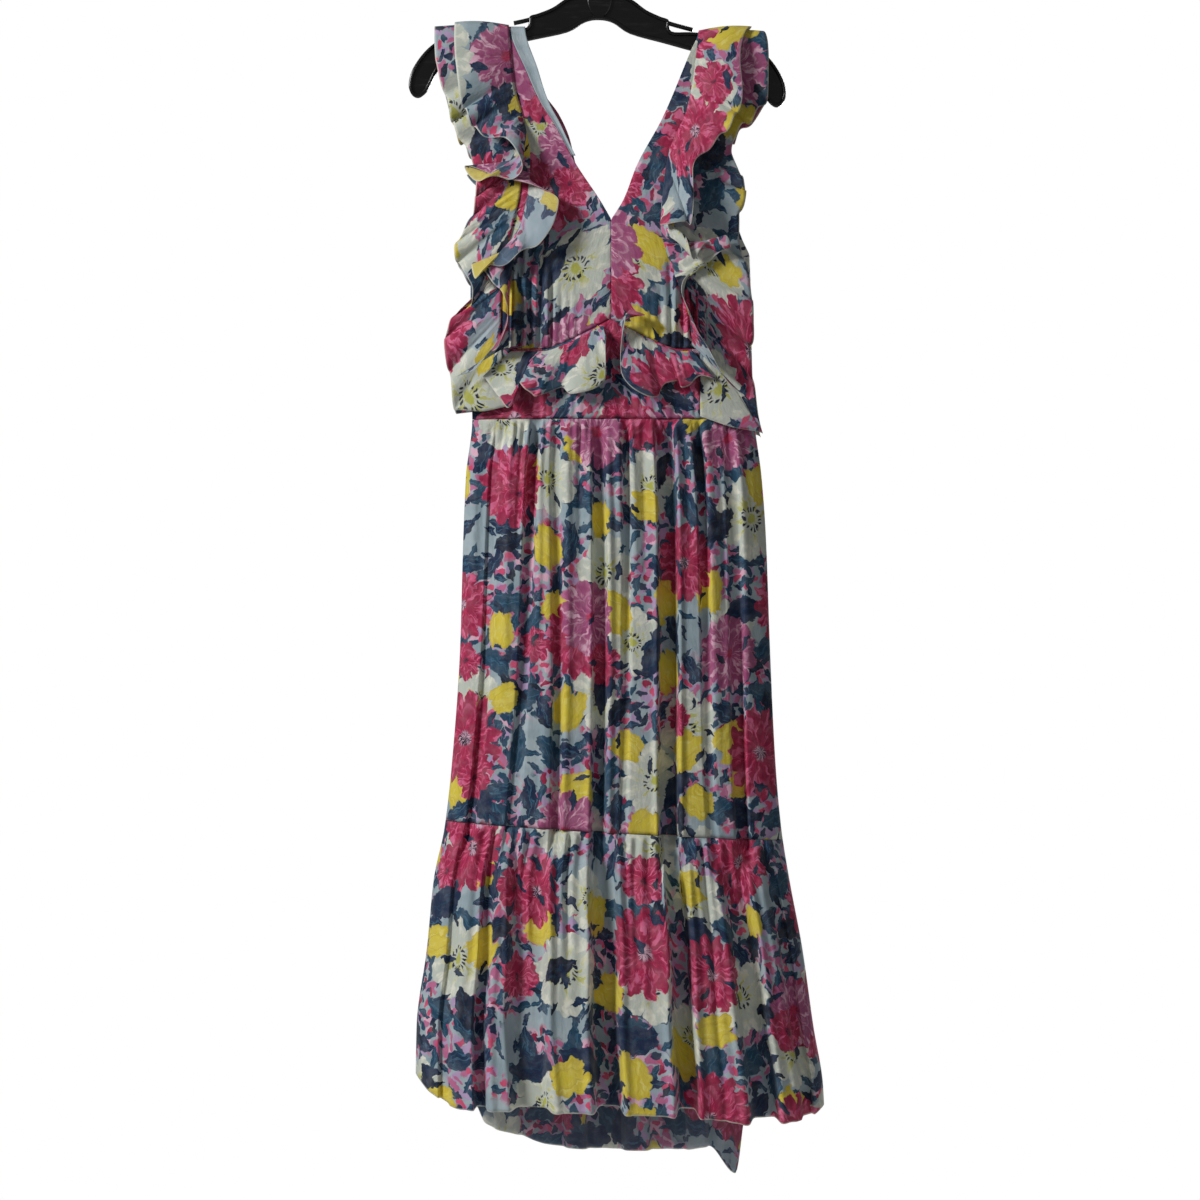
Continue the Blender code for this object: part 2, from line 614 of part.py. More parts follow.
def build_hanger(collection, looks):
    side = [(p.x, -p.drop) for p in HANGER_SIDE]
    outline = side + [(-x, z) for x, z in reversed(side[:-1])]
    points = [(x * MM, z * MM, 0.0) for x, z in reversed(outline)]
    body = curve_object("hanger_body", points, True, looks["plastic"], collection)
    body.data.dimensions = "2D"
    body.data.fill_mode = "BOTH"
    body.data.bevel_depth = HANGER_ROUNDING * MM
    body.data.bevel_resolution = 1
    body.data.offset = -HANGER_ROUNDING * MM
    body.data.extrude = (HANGER_DEPTH / 2 - HANGER_ROUNDING) * MM
    body.rotation_euler = (math.pi / 2, HANGER_TILT, 0.0)

    hook = curve_object("hanger_hook", hook_path(), False, looks["steel"], collection)
    hook.data.dimensions = "3D"
    hook.data.bevel_depth = HOOK_WIRE / 2 * MM
    hook.data.bevel_resolution = 2
    hook.data.use_fill_caps = True
    hook.rotation_euler = (0.0, HANGER_TILT, 0.0)


def hook_path():
    """From the hook's free end over the top and down to the neck, along the wire's middle."""
    radius = HOOK_BEND + HOOK_WIRE / 2
    top = HOOK_WIRE / 2
    points = []
    for i in range(19):
        turn = math.radians(HOOK_FREE_END + (90.0 - HOOK_FREE_END) * i / 18)
        points.append((radius * math.sin(turn), radius * (math.cos(turn) - 1) + top))
    join = radius * 0.62
    for i in range(1, 6):
        turn = math.radians(90 * i / 5)
        points.append((
            radius - join * (1 - math.cos(turn)) * radius / join,
            top - radius - join * 1.2 * math.sin(turn),
        ))
    points.append((0.0, -HOOK_STEM_END))
    return [(x * MM, 0.0, z * MM) for x, z in points]


def main():
    for old in list(bpy.data.objects):
        bpy.data.objects.remove(old, do_unlink=True)
    collection = bpy.data.collections.new("Maxi dress on a hanger")
    bpy.context.scene.collection.children.link(collection)
    looks = {
        "print": material("Printed chiffon", COLOURS["print"], 0.8),
        "lining": material("Pale lining", COLOURS["lining"], 0.75),
        "plastic": material("Black plastic", COLOURS["plastic"], 0.35),
        "steel": material("Steel", COLOURS["steel"], 0.3, 1.0),
    }
    build_hanger(collection, looks)
    build_bodice(collection, looks)
    build_neck_lining(collection, looks)
    build_waistband(collection, looks)
    build_skirt(collection, looks)
    build_tier(collection, looks)
    build_ruffles(collection, looks)
    build_waist_ruffles(collection, looks)


main()
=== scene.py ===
"""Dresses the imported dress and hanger: printed cloth, ruffles, moulded hanger, light and camera."""

import math
from collections import namedtuple

import bpy
import numpy as np
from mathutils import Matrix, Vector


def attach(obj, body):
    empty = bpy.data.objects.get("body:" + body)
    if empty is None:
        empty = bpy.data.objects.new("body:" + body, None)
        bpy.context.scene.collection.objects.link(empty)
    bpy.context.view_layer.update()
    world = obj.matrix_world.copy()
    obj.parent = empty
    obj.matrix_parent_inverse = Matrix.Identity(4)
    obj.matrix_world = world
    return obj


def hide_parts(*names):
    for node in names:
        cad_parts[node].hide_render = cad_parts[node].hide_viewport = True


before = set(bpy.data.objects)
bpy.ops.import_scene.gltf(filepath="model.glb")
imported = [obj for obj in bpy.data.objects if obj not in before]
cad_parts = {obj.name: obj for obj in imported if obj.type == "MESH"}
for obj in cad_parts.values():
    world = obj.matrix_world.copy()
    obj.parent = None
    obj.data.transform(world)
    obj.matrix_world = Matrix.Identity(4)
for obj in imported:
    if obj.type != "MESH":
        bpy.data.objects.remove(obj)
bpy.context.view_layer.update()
MM = 0.001

# Driving dimensions of the solids, in millimetres
HANGER_DEPTH = 10.0
HANGER_TILT = math.radians(1.5)
HOOK_WIRE = 4.4
HOOK_BEND = 17.0
HOOK_STEM_END = 75.5
HOOK_FREE_END = -115.0
SEAM_GAP = 0.6
SIDE_GAP = 0.9
LAID_ON = 1.8
STRAP_BEND = 8.6
STRAP_END = 250.0
BODICE_FULLNESS = 2.6
BODICE_GATHER_TOP = 400.0
BODICE_GATHER_PLACE = 0.52
BODICE_GATHER_SPREAD = 0.24

Level = namedtuple("Level", "drop left right front back")
Fold = namedtuple("Fold", "top low width top_depth low_depth")
Edge = namedtuple("Edge", "seam x drop y")
Seam = namedtuple("Seam", "drop x")
Hem = namedtuple("Hem", "share drop")
Crease = namedtuple("Crease", "top low start end width depth")
Cut = namedtuple("Cut", "width length area held hangs_from start")
Boss = namedtuple("Boss", "x z drop half")


def rows(kind, *table):
    """A table of plain rows, with its columns named."""
    return tuple(kind(*row) for row in table)


# Body sections: where the side seams lie and how deep the front and the back stand at the middle
BODY = rows(
    Level, (120, -153, 168, 9, 9), (240, -152, 168, 17, 14), (376, -151, 169, 25, 21),
    (440, -151, 171, 26, 22), (504, -152, 172, 24, 21), (584, -149, 175, 22, 20),
    (647, -156, 183, 29, 26), (713, -159, 188, 34, 30), (848, -163, 193, 40, 36),
    (975, -172, 199, 46, 42), (1054, -181, 206, 52, 46), (1111, -193, 215, 60, 52),
    (1191, -201, 230, 68, 58), (1282, -213, 243, 76, 66), (1350, -214, 254, 80, 70),
    (1460, -214, 258, 82, 72),
)

# Necklines, from the strap down to the point of the V, where the centre seam starts
CENTRE_X = 10.5
UNDERARM_DROP = 394.0
FRONT_NECK_LEFT = rows(
    Seam, (120, -107), (140, -105), (185, -87), (221, -71), (246, -55), (294, -29), (335, -2),
    (356, CENTRE_X - SEAM_GAP / 2),
)
FRONT_NECK_RIGHT = rows(
    Seam, (120, 112), (142, 110), (161, 102), (240, 69), (294, 40), (335, 24),
    (356, CENTRE_X + SEAM_GAP / 2),
)
BACK_NECK_LEFT = rows(
    Seam, (120, -96), (140, -93), (205, -68), (230, -50), (256, -38), (292, -29), (335, -4),
    (368, CENTRE_X - SEAM_GAP / 2),
)
BACK_NECK_RIGHT = rows(
    Seam, (120, 114), (142, 112), (161, 105), (240, 73), (294, 45), (335, 27),
    (368, CENTRE_X + SEAM_GAP / 2),
)
# Armhole edges of the bodice, from the shoulder to the underarm
ARMHOLE_LEFT = rows(
    Seam, (120, -151), (200, -141), (260, -132), (315, -130), (352, -134), (380, -144),
    (UNDERARM_DROP, -151),
)
ARMHOLE_RIGHT = rows(
    Seam, (120, 166), (200, 152), (256, 143), (290, 142), (340, 149), (376, 160),
    (UNDERARM_DROP, 169),
)
SHOULDER_DROP = {"left": 132.1, "right": 138.4}
# The strip of lining beside the left strap: its width narrows down its length
LINING_START = 1.6
LINING_LENGTH = 156.0
LINING_WIDTH = rows(
    Seam, (120, 16), (150, 15.5), (215, 9), (270, 3.5), (290, 3),
)

# The raised seam under the bust peaks at the centre front, and the waist seam is nearly level
RAISED_SEAM = 504.0
RAISED_PEAK = 34.0
RAISED_HALF_WIDTH = 74.0
WAIST_SEAM = 584.0
TIER_SEAM_LEFT = 1044.0
TIER_SEAM_RIGHT = 1066.0

# Largest folds, as valleys: place across the panel (0 left seam, 1 right seam) at its top and
# bottom, width in mm, and depth in mm at its top and bottom
SKIRT_FRONT_FOLDS = rows(
    Fold, (0.1, 0.08, 6, 5, 8), (0.227, 0.2, 7, 12, 6), (0.3, 0.33, 6, 4, 10),
    (0.448, 0.455, 8, 9, 15), (0.544, 0.53, 5, 8, 3), (0.678, 0.664, 11, 14, 22),
    (0.792, 0.79, 6, 11, 4), (0.9, 0.88, 8, 5, 12),
)
SKIRT_BACK_FOLDS = rows(
    Fold, (0.1, 0.1, 8, 6, 8), (0.26, 0.24, 10, 9, 13), (0.42, 0.43, 8, 6, 10),
    (0.58, 0.57, 11, 9, 15), (0.74, 0.75, 8, 6, 10), (0.89, 0.9, 9, 5, 8),
)
TIER_FRONT_FOLDS = rows(
    Fold, (0.07, 0.075, 6, 4, 8), (0.155, 0.165, 7, 6, 16), (0.262, 0.287, 21, 9, 22),
    (0.477, 0.474, 15, 13, 32), (0.683, 0.661, 12, 16, 36), (0.84, 0.848, 16, 8, 28),
    (0.945, 0.955, 7, 5, 14),
)
TIER_BACK_FOLDS = rows(
    Fold, (0.08, 0.08, 8, 4, 14), (0.22, 0.22, 15, 9, 24), (0.38, 0.39, 13, 9, 26),
    (0.54, 0.54, 16, 10, 30), (0.7, 0.69, 13, 9, 27), (0.86, 0.87, 14, 7, 20),
)
# The power that sets how steep a valley's sides are and how flat its floor is
FOLD_STEEPNESS = 8
TIER_FOLD_START = 0.16
TIER_PUFF = 3.0
HEM_LIFT = 0.12

# Hems: drop at each share of the width, high at the sides, with a corner hanging at the back
HEM_FRONT = rows(
    Hem, (0, 1334), (0.04, 1350), (0.12, 1366), (0.3, 1366), (0.5, 1368), (0.68, 1372),
    (0.85, 1382), (0.95, 1380), (1, 1370),
)
HEM_BACK = rows(
    Hem, (0, 1334), (0.06, 1351), (0.135, 1376), (0.165, 1404), (0.25, 1418), (0.31, 1430),
    (0.45, 1436), (0.64, 1437), (0.72, 1432), (0.785, 1464), (0.815, 1392), (0.9, 1378), (1, 1370),
)

# Seams that carry the ruffles, down the front from the shoulder; the back repeats them
INNER_SEAM_LEFT = rows(
    Seam, (120, -108), (202, -100), (229, -93), (258, -86), (285, -82), (320, -84), (360, -92),
    (400, -101), (446, -106), (501, -107),
)
INNER_SEAM_RIGHT = rows(
    Seam, (120, 113), (182, 106), (230, 97), (262, 83), (278, 77), (312, 71), (363, 67), (402, 76),
    (439, 90), (475, 101), (501, 103),
)
OUTER_SEAM_SHIFT = 9.0
INNER_HUMP = 3.0
OUTER_HUMP = 1.0

# Free edges of the ruffles: share of the way down their seam, and where the edge goes
INNER_EDGE_LEFT = rows(
    Edge, (0, -169, 127, 0), (0.02, -169, 131, -11), (0.045, -169, 144, -19),
    (0.09, -168, 168, -25), (0.16, -162, 215, -31), (0.22, -152, 243, -33), (0.27, -136, 262, -34),
    (0.3, -112, 268, -43), (0.34, -90, 297, -48), (0.37, -110, 314, -38), (0.4, -137, 313, -32),
    (0.43, -157, 298, -28), (0.46, -128, 306, -30), (0.49, -78, 318, -40), (0.52, -49, 338, -46),
    (0.55, -54, 364, -48), (0.58, -72, 386, -46), (0.61, -97, 402, -43), (0.64, -125, 412, -40),
    (0.67, -143, 425, -35), (0.7, -149, 408, -30), (0.73, -134, 418, -32), (0.77, -118, 438, -42),
    (0.81, -107, 458, -46), (0.86, -107, 478, -46), (0.91, -117, 498, -43), (0.96, -140, 524, -38),
    (1, -168, 540, -32),
)
INNER_EDGE_RIGHT = rows(
    Edge, (0, 172, 132, 0), (0.02, 168, 136, -12), (0.045, 161, 150, -21), (0.08, 158, 172, -27),
    (0.14, 160, 212, -33), (0.2, 153, 240, -36), (0.27, 126, 274, -40), (0.33, 103, 303, -44),
    (0.38, 104, 335, -48), (0.43, 98, 366, -50), (0.48, 66, 364, -42), (0.52, 82, 350, -31),
    (0.56, 82, 368, -34), (0.6, 94, 381, -43), (0.64, 107, 404, -48), (0.68, 120, 382, -36),
    (0.72, 140, 378, -34), (0.76, 147, 388, -36), (0.8, 122, 404, -31), (0.84, 98, 424, -36),
    (0.88, 90, 442, -44), (0.91, 102, 468, -46), (0.94, 118, 504, -46), (0.97, 140, 538, -42),
    (1, 166, 566, -34),
)
OUTER_EDGE_LEFT = rows(
    Edge, (0, -192, 132, 0), (0.02, -192, 135, -9), (0.045, -192, 148, -13), (0.09, -191, 171, -14),
    (0.18, -177, 223, -15), (0.25, -169, 252, -16), (0.32, -153, 278, -18), (0.4, -144, 315, -20),
    (0.48, -147, 345, -17), (0.54, -159, 370, -18), (0.59, -169, 391, -19), (0.64, -162, 413, -21),
    (0.69, -148, 434, -22), (0.73, -151, 456, -20), (0.77, -167, 462, -14), (0.81, -176, 477, -13),
    (0.86, -181, 499, -12), (0.92, -174, 536, -13), (0.96, -168, 574, -15), (0.98, -142, 577, -18),
    (1, -107, 568, -20),
)
OUTER_EDGE_RIGHT = rows(
    Edge, (0, 184, 137, 0), (0.02, 187, 140, -9), (0.045, 190, 152, -13), (0.08, 191, 172, -14),
    (0.13, 190, 213, -15), (0.2, 174, 238, -18), (0.27, 154, 258, -22), (0.33, 148, 280, -22),
    (0.39, 159, 304, -18), (0.45, 165, 328, -20), (0.51, 157, 353, -20), (0.57, 157, 378, -18),
    (0.63, 164, 405, -20), (0.69, 170, 434, -22), (0.75, 173, 456, -20), (0.81, 174, 488, -16),
    (0.86, 170, 506, -14), (0.91, 173, 538, -17), (0.945, 178, 572, -19), (0.965, 184, 602, -20),
    (0.98, 156, 597, -22), (1, 112, 580, -24),
)
WAIST_EDGE_LEFT = rows(
    Edge, (0, -136, 536, -24), (0.08, -126, 550, -30), (0.15, -114, 562, -35),
    (0.21, -106, 573, -37), (0.26, -102, 564, -32), (0.31, -110, 545, -27), (0.37, -97, 536, -28),
    (0.44, -87, 553, -36), (0.51, -75, 560, -38), (0.58, -65, 556, -32), (0.66, -45, 549, -30),
    (0.74, -34, 557, -36), (0.82, -15, 553, -40), (0.89, 3, 539, -41), (0.95, 7, 517, -38),
    (1, 3, 492, -33),
)
WAIST_EDGE_RIGHT = rows(
    Edge, (0, 27, 466, -38), (0.07, 21, 500, -40), (0.14, 24, 532, -38), (0.23, 38, 553, -40),
    (0.32, 54, 561, -40), (0.41, 64, 559, -34), (0.51, 76, 544, -30), (0.61, 89, 541, -31),
    (0.71, 91, 550, -37), (0.8, 100, 547, -36), (0.9, 114, 536, -30), (1, 128, 540, -28),
)

# The short ruffles at the waist: how far below the raised seam they start, and the back's waves
WAIST_ROOT = 3.0
WAIST_HUMP = 2.5
BACK_WAIST_LEFT = -98.0
BACK_WAIST_RIGHT = 99.0
BACK_WAIST_WAVES = 8
BACK_WAIST_FLARE = 1.05
BACK_WAIST_VALLEY = (550.0, 6.0)
BACK_WAIST_RIDGE = (560.0, 15.0)

# Hanger outline, one side, from the neck along the top to the tip and back along the underside
HANGER_SIDE = rows(
    Seam, (76, 13), (84, 15), (94, 26), (102, 40), (112, 54), (119, 70), (123, 80), (135.6, 83),
    (136, 104), (137, 125), (140, 146), (144, 166), (153, 184), (167, 200), (187, 213), (205, 217),
    (216, 213), (219, 205), (212, 196), (200, 190), (186, 183), (174, 171), (166, 152), (161, 128),
    (156, 104), (149, 76), (139, 36), (127, 16), (124, 0),
)
# The hanger's moulded details, in millimetres; the arm over a strap slot falls outwards
PLATE_INSET, PLATE_HALF = 1.6, 1.2
RIM_INSET, RIM_ROUNDING = 2.0, 1.9
BOSS = Boss(13.0, 21.0, 100.0, 3.4)
RIB_PLACE, RIB_ENDS = 4.0, (-82.0, -121.0)
SLOT_ARM = rows(Seam, (125.4, 78), (128.2, 88), (133.4, 110))

# Cloth that the solids leave plain, in millimetres: the shell and how it turns in at a seam
SHELL = 0.5
SEAM_DIP = 0.9
SEAM_DIP_WIDTH = 2.2
SEAM_OVERLAP = 0.1
CENTRE_SEAM_TOP = 357.0
LINING_INSET = 0.3
LINING_BELLY = 1.2
# Gathers: length of a wave, its depth and how fast it fades down the panel
BODICE_GATHER = 9.5
BODICE_GATHER_DEPTH = 2.0
BAND_RIPPLE = 10.5
BAND_RIPPLE_DEPTH = 0.9
WAIST_GATHER = 13.0
WAIST_GATHER_DEPTH = 2.6
WAIST_GATHER_LENGTH = 42.0
TIER_GATHER = 15.0
TIER_GATHER_DEPTH = 4.2
TIER_GATHER_LENGTH = 75.0
# Widths and lengths along which waves are counted
BODICE_HALF_WIDTH = 160.0
WAIST_WIDTH = 342.0
SKIRT_WIDTH = 350.0
TIER_SEAM_WIDTH = 400.0
TIER_WIDTH = 420.0
RUFFLE_SEAM_LENGTH = 380.0
RUFFLE_LENGTH = 430.0
# Ruffles: pleats at the seam, waves and curls at the edge
RUFFLE_PLEAT = 11.0
RUFFLE_PLEAT_DEPTH = 1.1
RUFFLE_WAVE = 29.0
RUFFLE_WAVE_DEPTH = 5.0
RUFFLE_CURL = 4.6
WAIST_PLEAT = 7.5
WAIST_PLEAT_DEPTH = 0.9
WAIST_RUFFLE_WAVE = 21.0
WAIST_RUFFLE_WAVE_DEPTH = 3.2
WAIST_RUFFLE_CURL = 3.0
WAIST_RUFFLE_ROWS = 18
TURNED_END_WIDTH = 26.0
TURNED_END_RISE = 17.0
TURNED_END_COLUMNS = 28

# Threads, crinkle and hem of the cloth, in metres, and the distance put in for an edge with no hem
THREAD, THREAD_HEIGHT = 0.0009, 0.00003
CRINKLE_HEIGHT = 0.0011
HEM_WIDTH, STITCH, NO_HEM = 0.0018, 0.0016, 1.0
# How a gathered strip's flat length is taken: the seam row's share, and the other row's place
STRIP_SEAM_SHARE, STRIP_ROW = 0.35, 0.7

# Floor, studio and camera, in metres; the frame's width is measured at the hanger
FLOOR_RADIUS, FLOOR_HEIGHT, FLOOR_SIDES = 0.62, -1.62, 96
STUDIO_GLOW = 0.12
CAMERA_DISTANCE, FRAME_WIDTH = 3.2, 1.38
CAMERA_X, CAMERA_Z = -0.0023, -0.7912

# Creases, listed one by one: shares across at their top and bottom, shares down where they start
# and end, width in mm, and depth in mm, where a negative depth stands out as a ridge
BODICE_CREASES = rows(
    Crease, (0.33, 0.32, 0.62, 1, 3, -3.5), (0.368, 0.352, 0.58, 1, 3.2, 4.5),
    (0.405, 0.388, 0.66, 1, 2.8, -3), (0.448, 0.425, 0.6, 1, 3.2, 4.5),
    (0.486, 0.462, 0.72, 1, 2.8, -3), (0.52, 0.5, 0.66, 1, 3, 4), (0.56, 0.54, 0.78, 1, 2.8, -2.6),
    (0.6, 0.58, 0.74, 1, 3, 3.2), (0.66, 0.65, 0.84, 1, 3, 2.2), (0.29, 0.285, 0.7, 1, 3, 3),
)
SKIRT_FRONT_CREASES = rows(
    Crease, (0.03, 0.04, 0, 0.45, 4, -2), (0.065, 0.06, 0, 0.6, 5, 2),
    (0.15, 0.14, 0, 0.7, 6, -2.5), (0.185, 0.175, 0, 0.35, 3.5, 2.5), (0.205, 0.19, 0, 0.3, 4, -3),
    (0.255, 0.25, 0, 0.55, 4, -3), (0.275, 0.29, 0.18, 1, 5, -2), (0.345, 0.352, 0.05, 1, 5, -3.5),
    (0.385, 0.395, 0, 0.4, 4, 2.5), (0.42, 0.425, 0.05, 1, 4, -2.5), (0.482, 0.488, 0, 1, 4, -4),
    (0.518, 0.51, 0, 0.3, 3.5, -3), (0.57, 0.56, 0, 0.4, 4, -2.5), (0.6, 0.597, 0, 0.45, 4, 2.5),
    (0.64, 0.63, 0, 1, 4, -3.5), (0.716, 0.702, 0, 1, 4, -4), (0.745, 0.742, 0, 0.35, 4, 2.5),
    (0.77, 0.77, 0, 0.3, 4, -2.5), (0.816, 0.822, 0, 0.8, 6, -2.5), (0.86, 0.855, 0, 0.5, 4, 2.5),
    (0.93, 0.925, 0, 0.7, 5, -2),
)
SKIRT_BACK_CREASES = rows(
    Crease, (0.045, 0.05, 0, 0.7, 5, -2), (0.14, 0.13, 0, 0.4, 5, 2.5), (0.2, 0.19, 0, 1, 5, -3),
    (0.3, 0.3, 0.05, 0.8, 5, -2.5), (0.35, 0.34, 0, 0.35, 4, 2.5), (0.46, 0.47, 0, 1, 5, -3.5),
    (0.51, 0.51, 0, 0.45, 4, 2.5), (0.63, 0.62, 0, 1, 5, -3.5), (0.68, 0.68, 0, 0.4, 4, 2.5),
    (0.79, 0.8, 0, 0.9, 6, -2.5), (0.84, 0.84, 0, 0.4, 4, 2), (0.94, 0.94, 0, 0.7, 5, -2),
)
TIER_FRONT_CREASES = rows(
    Crease, (0.04, 0.035, 0, 1, 6, -2.5), (0.11, 0.11, 0.05, 0.8, 8, -3),
    (0.138, 0.144, 0.1, 1, 4, -3), (0.186, 0.192, 0.05, 1, 5, -4), (0.208, 0.225, 0, 0.7, 5, -3.5),
    (0.262, 0.283, 0, 0.45, 4, -4), (0.318, 0.35, 0, 1, 5, -4.5), (0.372, 0.392, 0, 0.5, 4, 3),
    (0.43, 0.43, 0, 1, 5, -4.5), (0.525, 0.517, 0, 1, 5, -4), (0.56, 0.556, 0.05, 0.5, 4, 3),
    (0.6, 0.592, 0.05, 0.7, 5, 2), (0.645, 0.627, 0, 1, 4.5, -5), (0.72, 0.696, 0, 1, 4.5, -5),
    (0.76, 0.752, 0, 1, 4, 3), (0.792, 0.8, 0, 1, 5, -4), (0.885, 0.895, 0, 1, 5, -4),
    (0.918, 0.925, 0.05, 1, 5, -2.5), (0.972, 0.978, 0, 1, 5, -2.5),
)
TIER_BACK_CREASES = rows(
    Crease, (0.04, 0.04, 0, 1, 6, -4.5), (0.15, 0.15, 0, 1, 7, -6), (0.3, 0.3, 0, 1, 7, -6.5),
    (0.34, 0.34, 0.1, 0.8, 4, 4.5), (0.46, 0.46, 0, 1, 7, -6.5), (0.5, 0.5, 0.05, 0.9, 4, 4),
    (0.62, 0.62, 0, 1, 7, -6.5), (0.66, 0.66, 0, 0.7, 4, 4.5), (0.78, 0.78, 0, 1, 7, -6),
    (0.93, 0.93, 0, 1, 6, -5),
)
CREASE_FADE = 0.06

# What each piece was cut to before it was sewn, in metres and square metres, how it hangs and from
# what, and where it lies on the printed cloth, so that the print differs from piece to piece
CUTS = {name: Cut(*row) for name, *row in (
    ("bodice_front_left", 0.211, 0.391, 0.045, "hung", ("hanger_body",), (0.31, 1.22)),
    ("bodice_front_right", 0.211, 0.382, 0.045, "hung", ("hanger_body",), (0.78, 0.64)),
    ("bodice_back_left", 0.176, 0.402, 0.044, "hung", ("hanger_body",), (1.31, 0.45)),
    ("bodice_back_right", 0.176, 0.393, 0.042, "hung", ("hanger_body",), (1.72, 1.05)),
    ("neck_lining_left", 0.017, 0.173, 0.0018, "hung", ("hanger_body",), (0.0, 0.0)),
    (
        "waistband_front", 0.357, 0.113, 0.03, "hung",
        ("bodice_front_left", "bodice_front_right"), (0.52, 2.31),
    ),
    (
        "waistband_back", 0.341, 0.08, 0.027, "hung",
        ("bodice_back_left", "bodice_back_right"), (1.43, 2.62),
    ),
    ("skirt_front", 0.532, 0.483, 0.232, "gathered", ("waistband_front",), (0.44, 3.3)),
    ("skirt_back", 0.493, 0.483, 0.208, "gathered", ("waistband_back",), (1.94, 3.74)),
    ("tier_front", 0.656, 0.327, 0.213, "gathered", ("skirt_front",), (0.63, 4.47)),
    ("tier_back", 0.647, 0.408, 0.223, "gathered", ("skirt_back",), (2.21, 5.05)),
    (
        "ruffle_inner_left", 1.105, 0.077, 0.046, "gathered",
        ("bodice_front_left", "bodice_back_left"), (3.05, 0.35),
    ),
    (
        "ruffle_inner_right", 1.043, 0.094, 0.042, "gathered",
        ("bodice_front_right", "bodice_back_right"), (3.42, 1.31),
    ),
    (
        "ruffle_outer_left", 0.93, 0.106, 0.058, "gathered",
        ("bodice_front_left", "bodice_back_left"), (4.11, 0.77),
    ),
    (
        "ruffle_outer_right", 0.951, 0.137, 0.068, "gathered",
        ("bodice_front_right", "bodice_back_right"), (4.36, 1.92),
    ),
    (
        "ruffle_waist_front_left", 0.183, 0.073, 0.0081, "gathered",
        ("waistband_front",), (3.31, 2.44),
    ),
    (
        "ruffle_waist_front_right", 0.171, 0.072, 0.0058, "gathered",
        ("waistband_front",), (3.92, 2.83),
    ),
    ("ruffle_waist_back", 0.241, 0.055, 0.0107, "gathered", ("waistband_back",), (4.62, 3.12)),
)}


def smooth(keys, values, at):
    """Values of a curve through a table, without overshoot, at each entry of an array."""
    keys = np.asarray(keys, float)
    values = np.asarray(values, float)
    step = np.diff(keys)
    rise = np.diff(values) / step
    slope = np.zeros(len(keys))
    same_way = rise[:-1] * rise[1:] > 0
    total = 3 * (step[:-1] + step[1:])
    weight_a = 2 * step[1:] + step[:-1]
    weight_b = step[1:] + 2 * step[:-1]
    safe_a = np.where(same_way, rise[:-1], 1.0)
    safe_b = np.where(same_way, rise[1:], 1.0)
    slope[1:-1] = np.where(same_way, total / (weight_a / safe_a + weight_b / safe_b), 0.0)
    slope[0] = rise[0]
    slope[-1] = rise[-1]
    at = np.clip(at, keys[0], keys[-1])
    cell = np.clip(np.searchsorted(keys, at, side="right") - 1, 0, len(step) - 1)
    t = (at - keys[cell]) / step[cell]
    return (
        values[cell] * (2 * t**3 - 3 * t**2 + 1)
        + slope[cell] * step[cell] * (t**3 - 2 * t**2 + t)
        + values[cell + 1] * (3 * t**2 - 2 * t**3)
        + slope[cell + 1] * step[cell] * (t**3 - t**2)
    )


def column(table, name):
    return [getattr(row, name) for row in table]


def level(name, drop):
    return smooth(column(BODY, "drop"), column(BODY, name), drop)


def seam_x(seam, drop):
    return smooth(column(seam, "drop"), column(seam, "x"), drop)


def ease(low, high, value):
    t = np.clip((value - low) / (high - low), 0.0, 1.0)
    return t * t * (3 - 2 * t)


def across(columns):
    """Shares of a panel's width, closer together where it turns into the side seams."""
    t = np.linspace(-1.0, 1.0, columns + 1)
    return 0.5 + 0.5 * (1.35 * t - 0.35 * t**3)


def down(count, power=1.0):
    return np.linspace(0.0, 1.0, count + 1)[:, None] ** power


def raised_seam(x):
    near = np.clip(1 - np.abs(x - CENTRE_X) / RAISED_HALF_WIDTH, 0.0, 1.0)
    return RAISED_SEAM - RAISED_PEAK * near**1.2


def body_depth(face, x, drop):
    """Depth of the plain body at a place, before any fold; face is -1 for front, 1 for back."""
    left = level("left", drop)
    right = level("right", drop)
    middle = level("front" if face < 0 else "back", drop)
    share = np.clip(np.abs(2 * (x - left) / (right - left) - 1), 0.0, 1.0)
    side = STRAP_BEND * (1 - ease(STRAP_END, UNDERARM_DROP, drop))
    return face * (side + (middle - side) * np.sqrt(1 - share**BODICE_FULLNESS))


def closed_depth(face, x, drop):
    """Body depth, with half the gap kept where the front and the back meet."""
    y = body_depth(face, x, drop)
    return np.where(np.abs(y) < SIDE_GAP / 2, face * SIDE_GAP / 2, y)


def fold_depth(folds, share, width, along):
    """How far the valleys push a panel in, at a share of its width and of its length."""
    total = 0.0
    for fold in folds:
        place = fold.top + (fold.low - fold.top) * along
        depth = fold.top_depth + (fold.low_depth - fold.top_depth) * ease(0.0, 1.0, along)
        total = total + depth * np.exp(-(((share - place) * width / fold.width) ** FOLD_STEEPNESS))
    return total


def edge_fade(share):
    """Folds die out at the side seams, where the panels meet."""
    return ease(0.0, 0.05, share) * ease(0.0, 0.05, 1 - share)


def stacked(x, y, drop):
    """Points in metres from three arrays in millimetres."""
    x, y, drop = np.broadcast_arrays(x, y, drop)
    return np.stack([x, y, -drop], axis=-1) * MM


def over_strap(half, path, lift=0.0):
    """Turn over the hanger, then straight down: the angle turned and the drop at each path length."""
    bend = STRAP_BEND * math.pi / 2
    turn = np.clip(path / STRAP_BEND, 0.0, math.pi / 2)
    drop = SHOULDER_DROP[half] - lift + (STRAP_BEND + lift) * (1 - np.cos(turn))
    return turn, drop + np.clip(path - bend, 0.0, None)


def strap_length(half, low):
    return STRAP_BEND * (math.pi / 2 - 1) + low - SHOULDER_DROP[half]


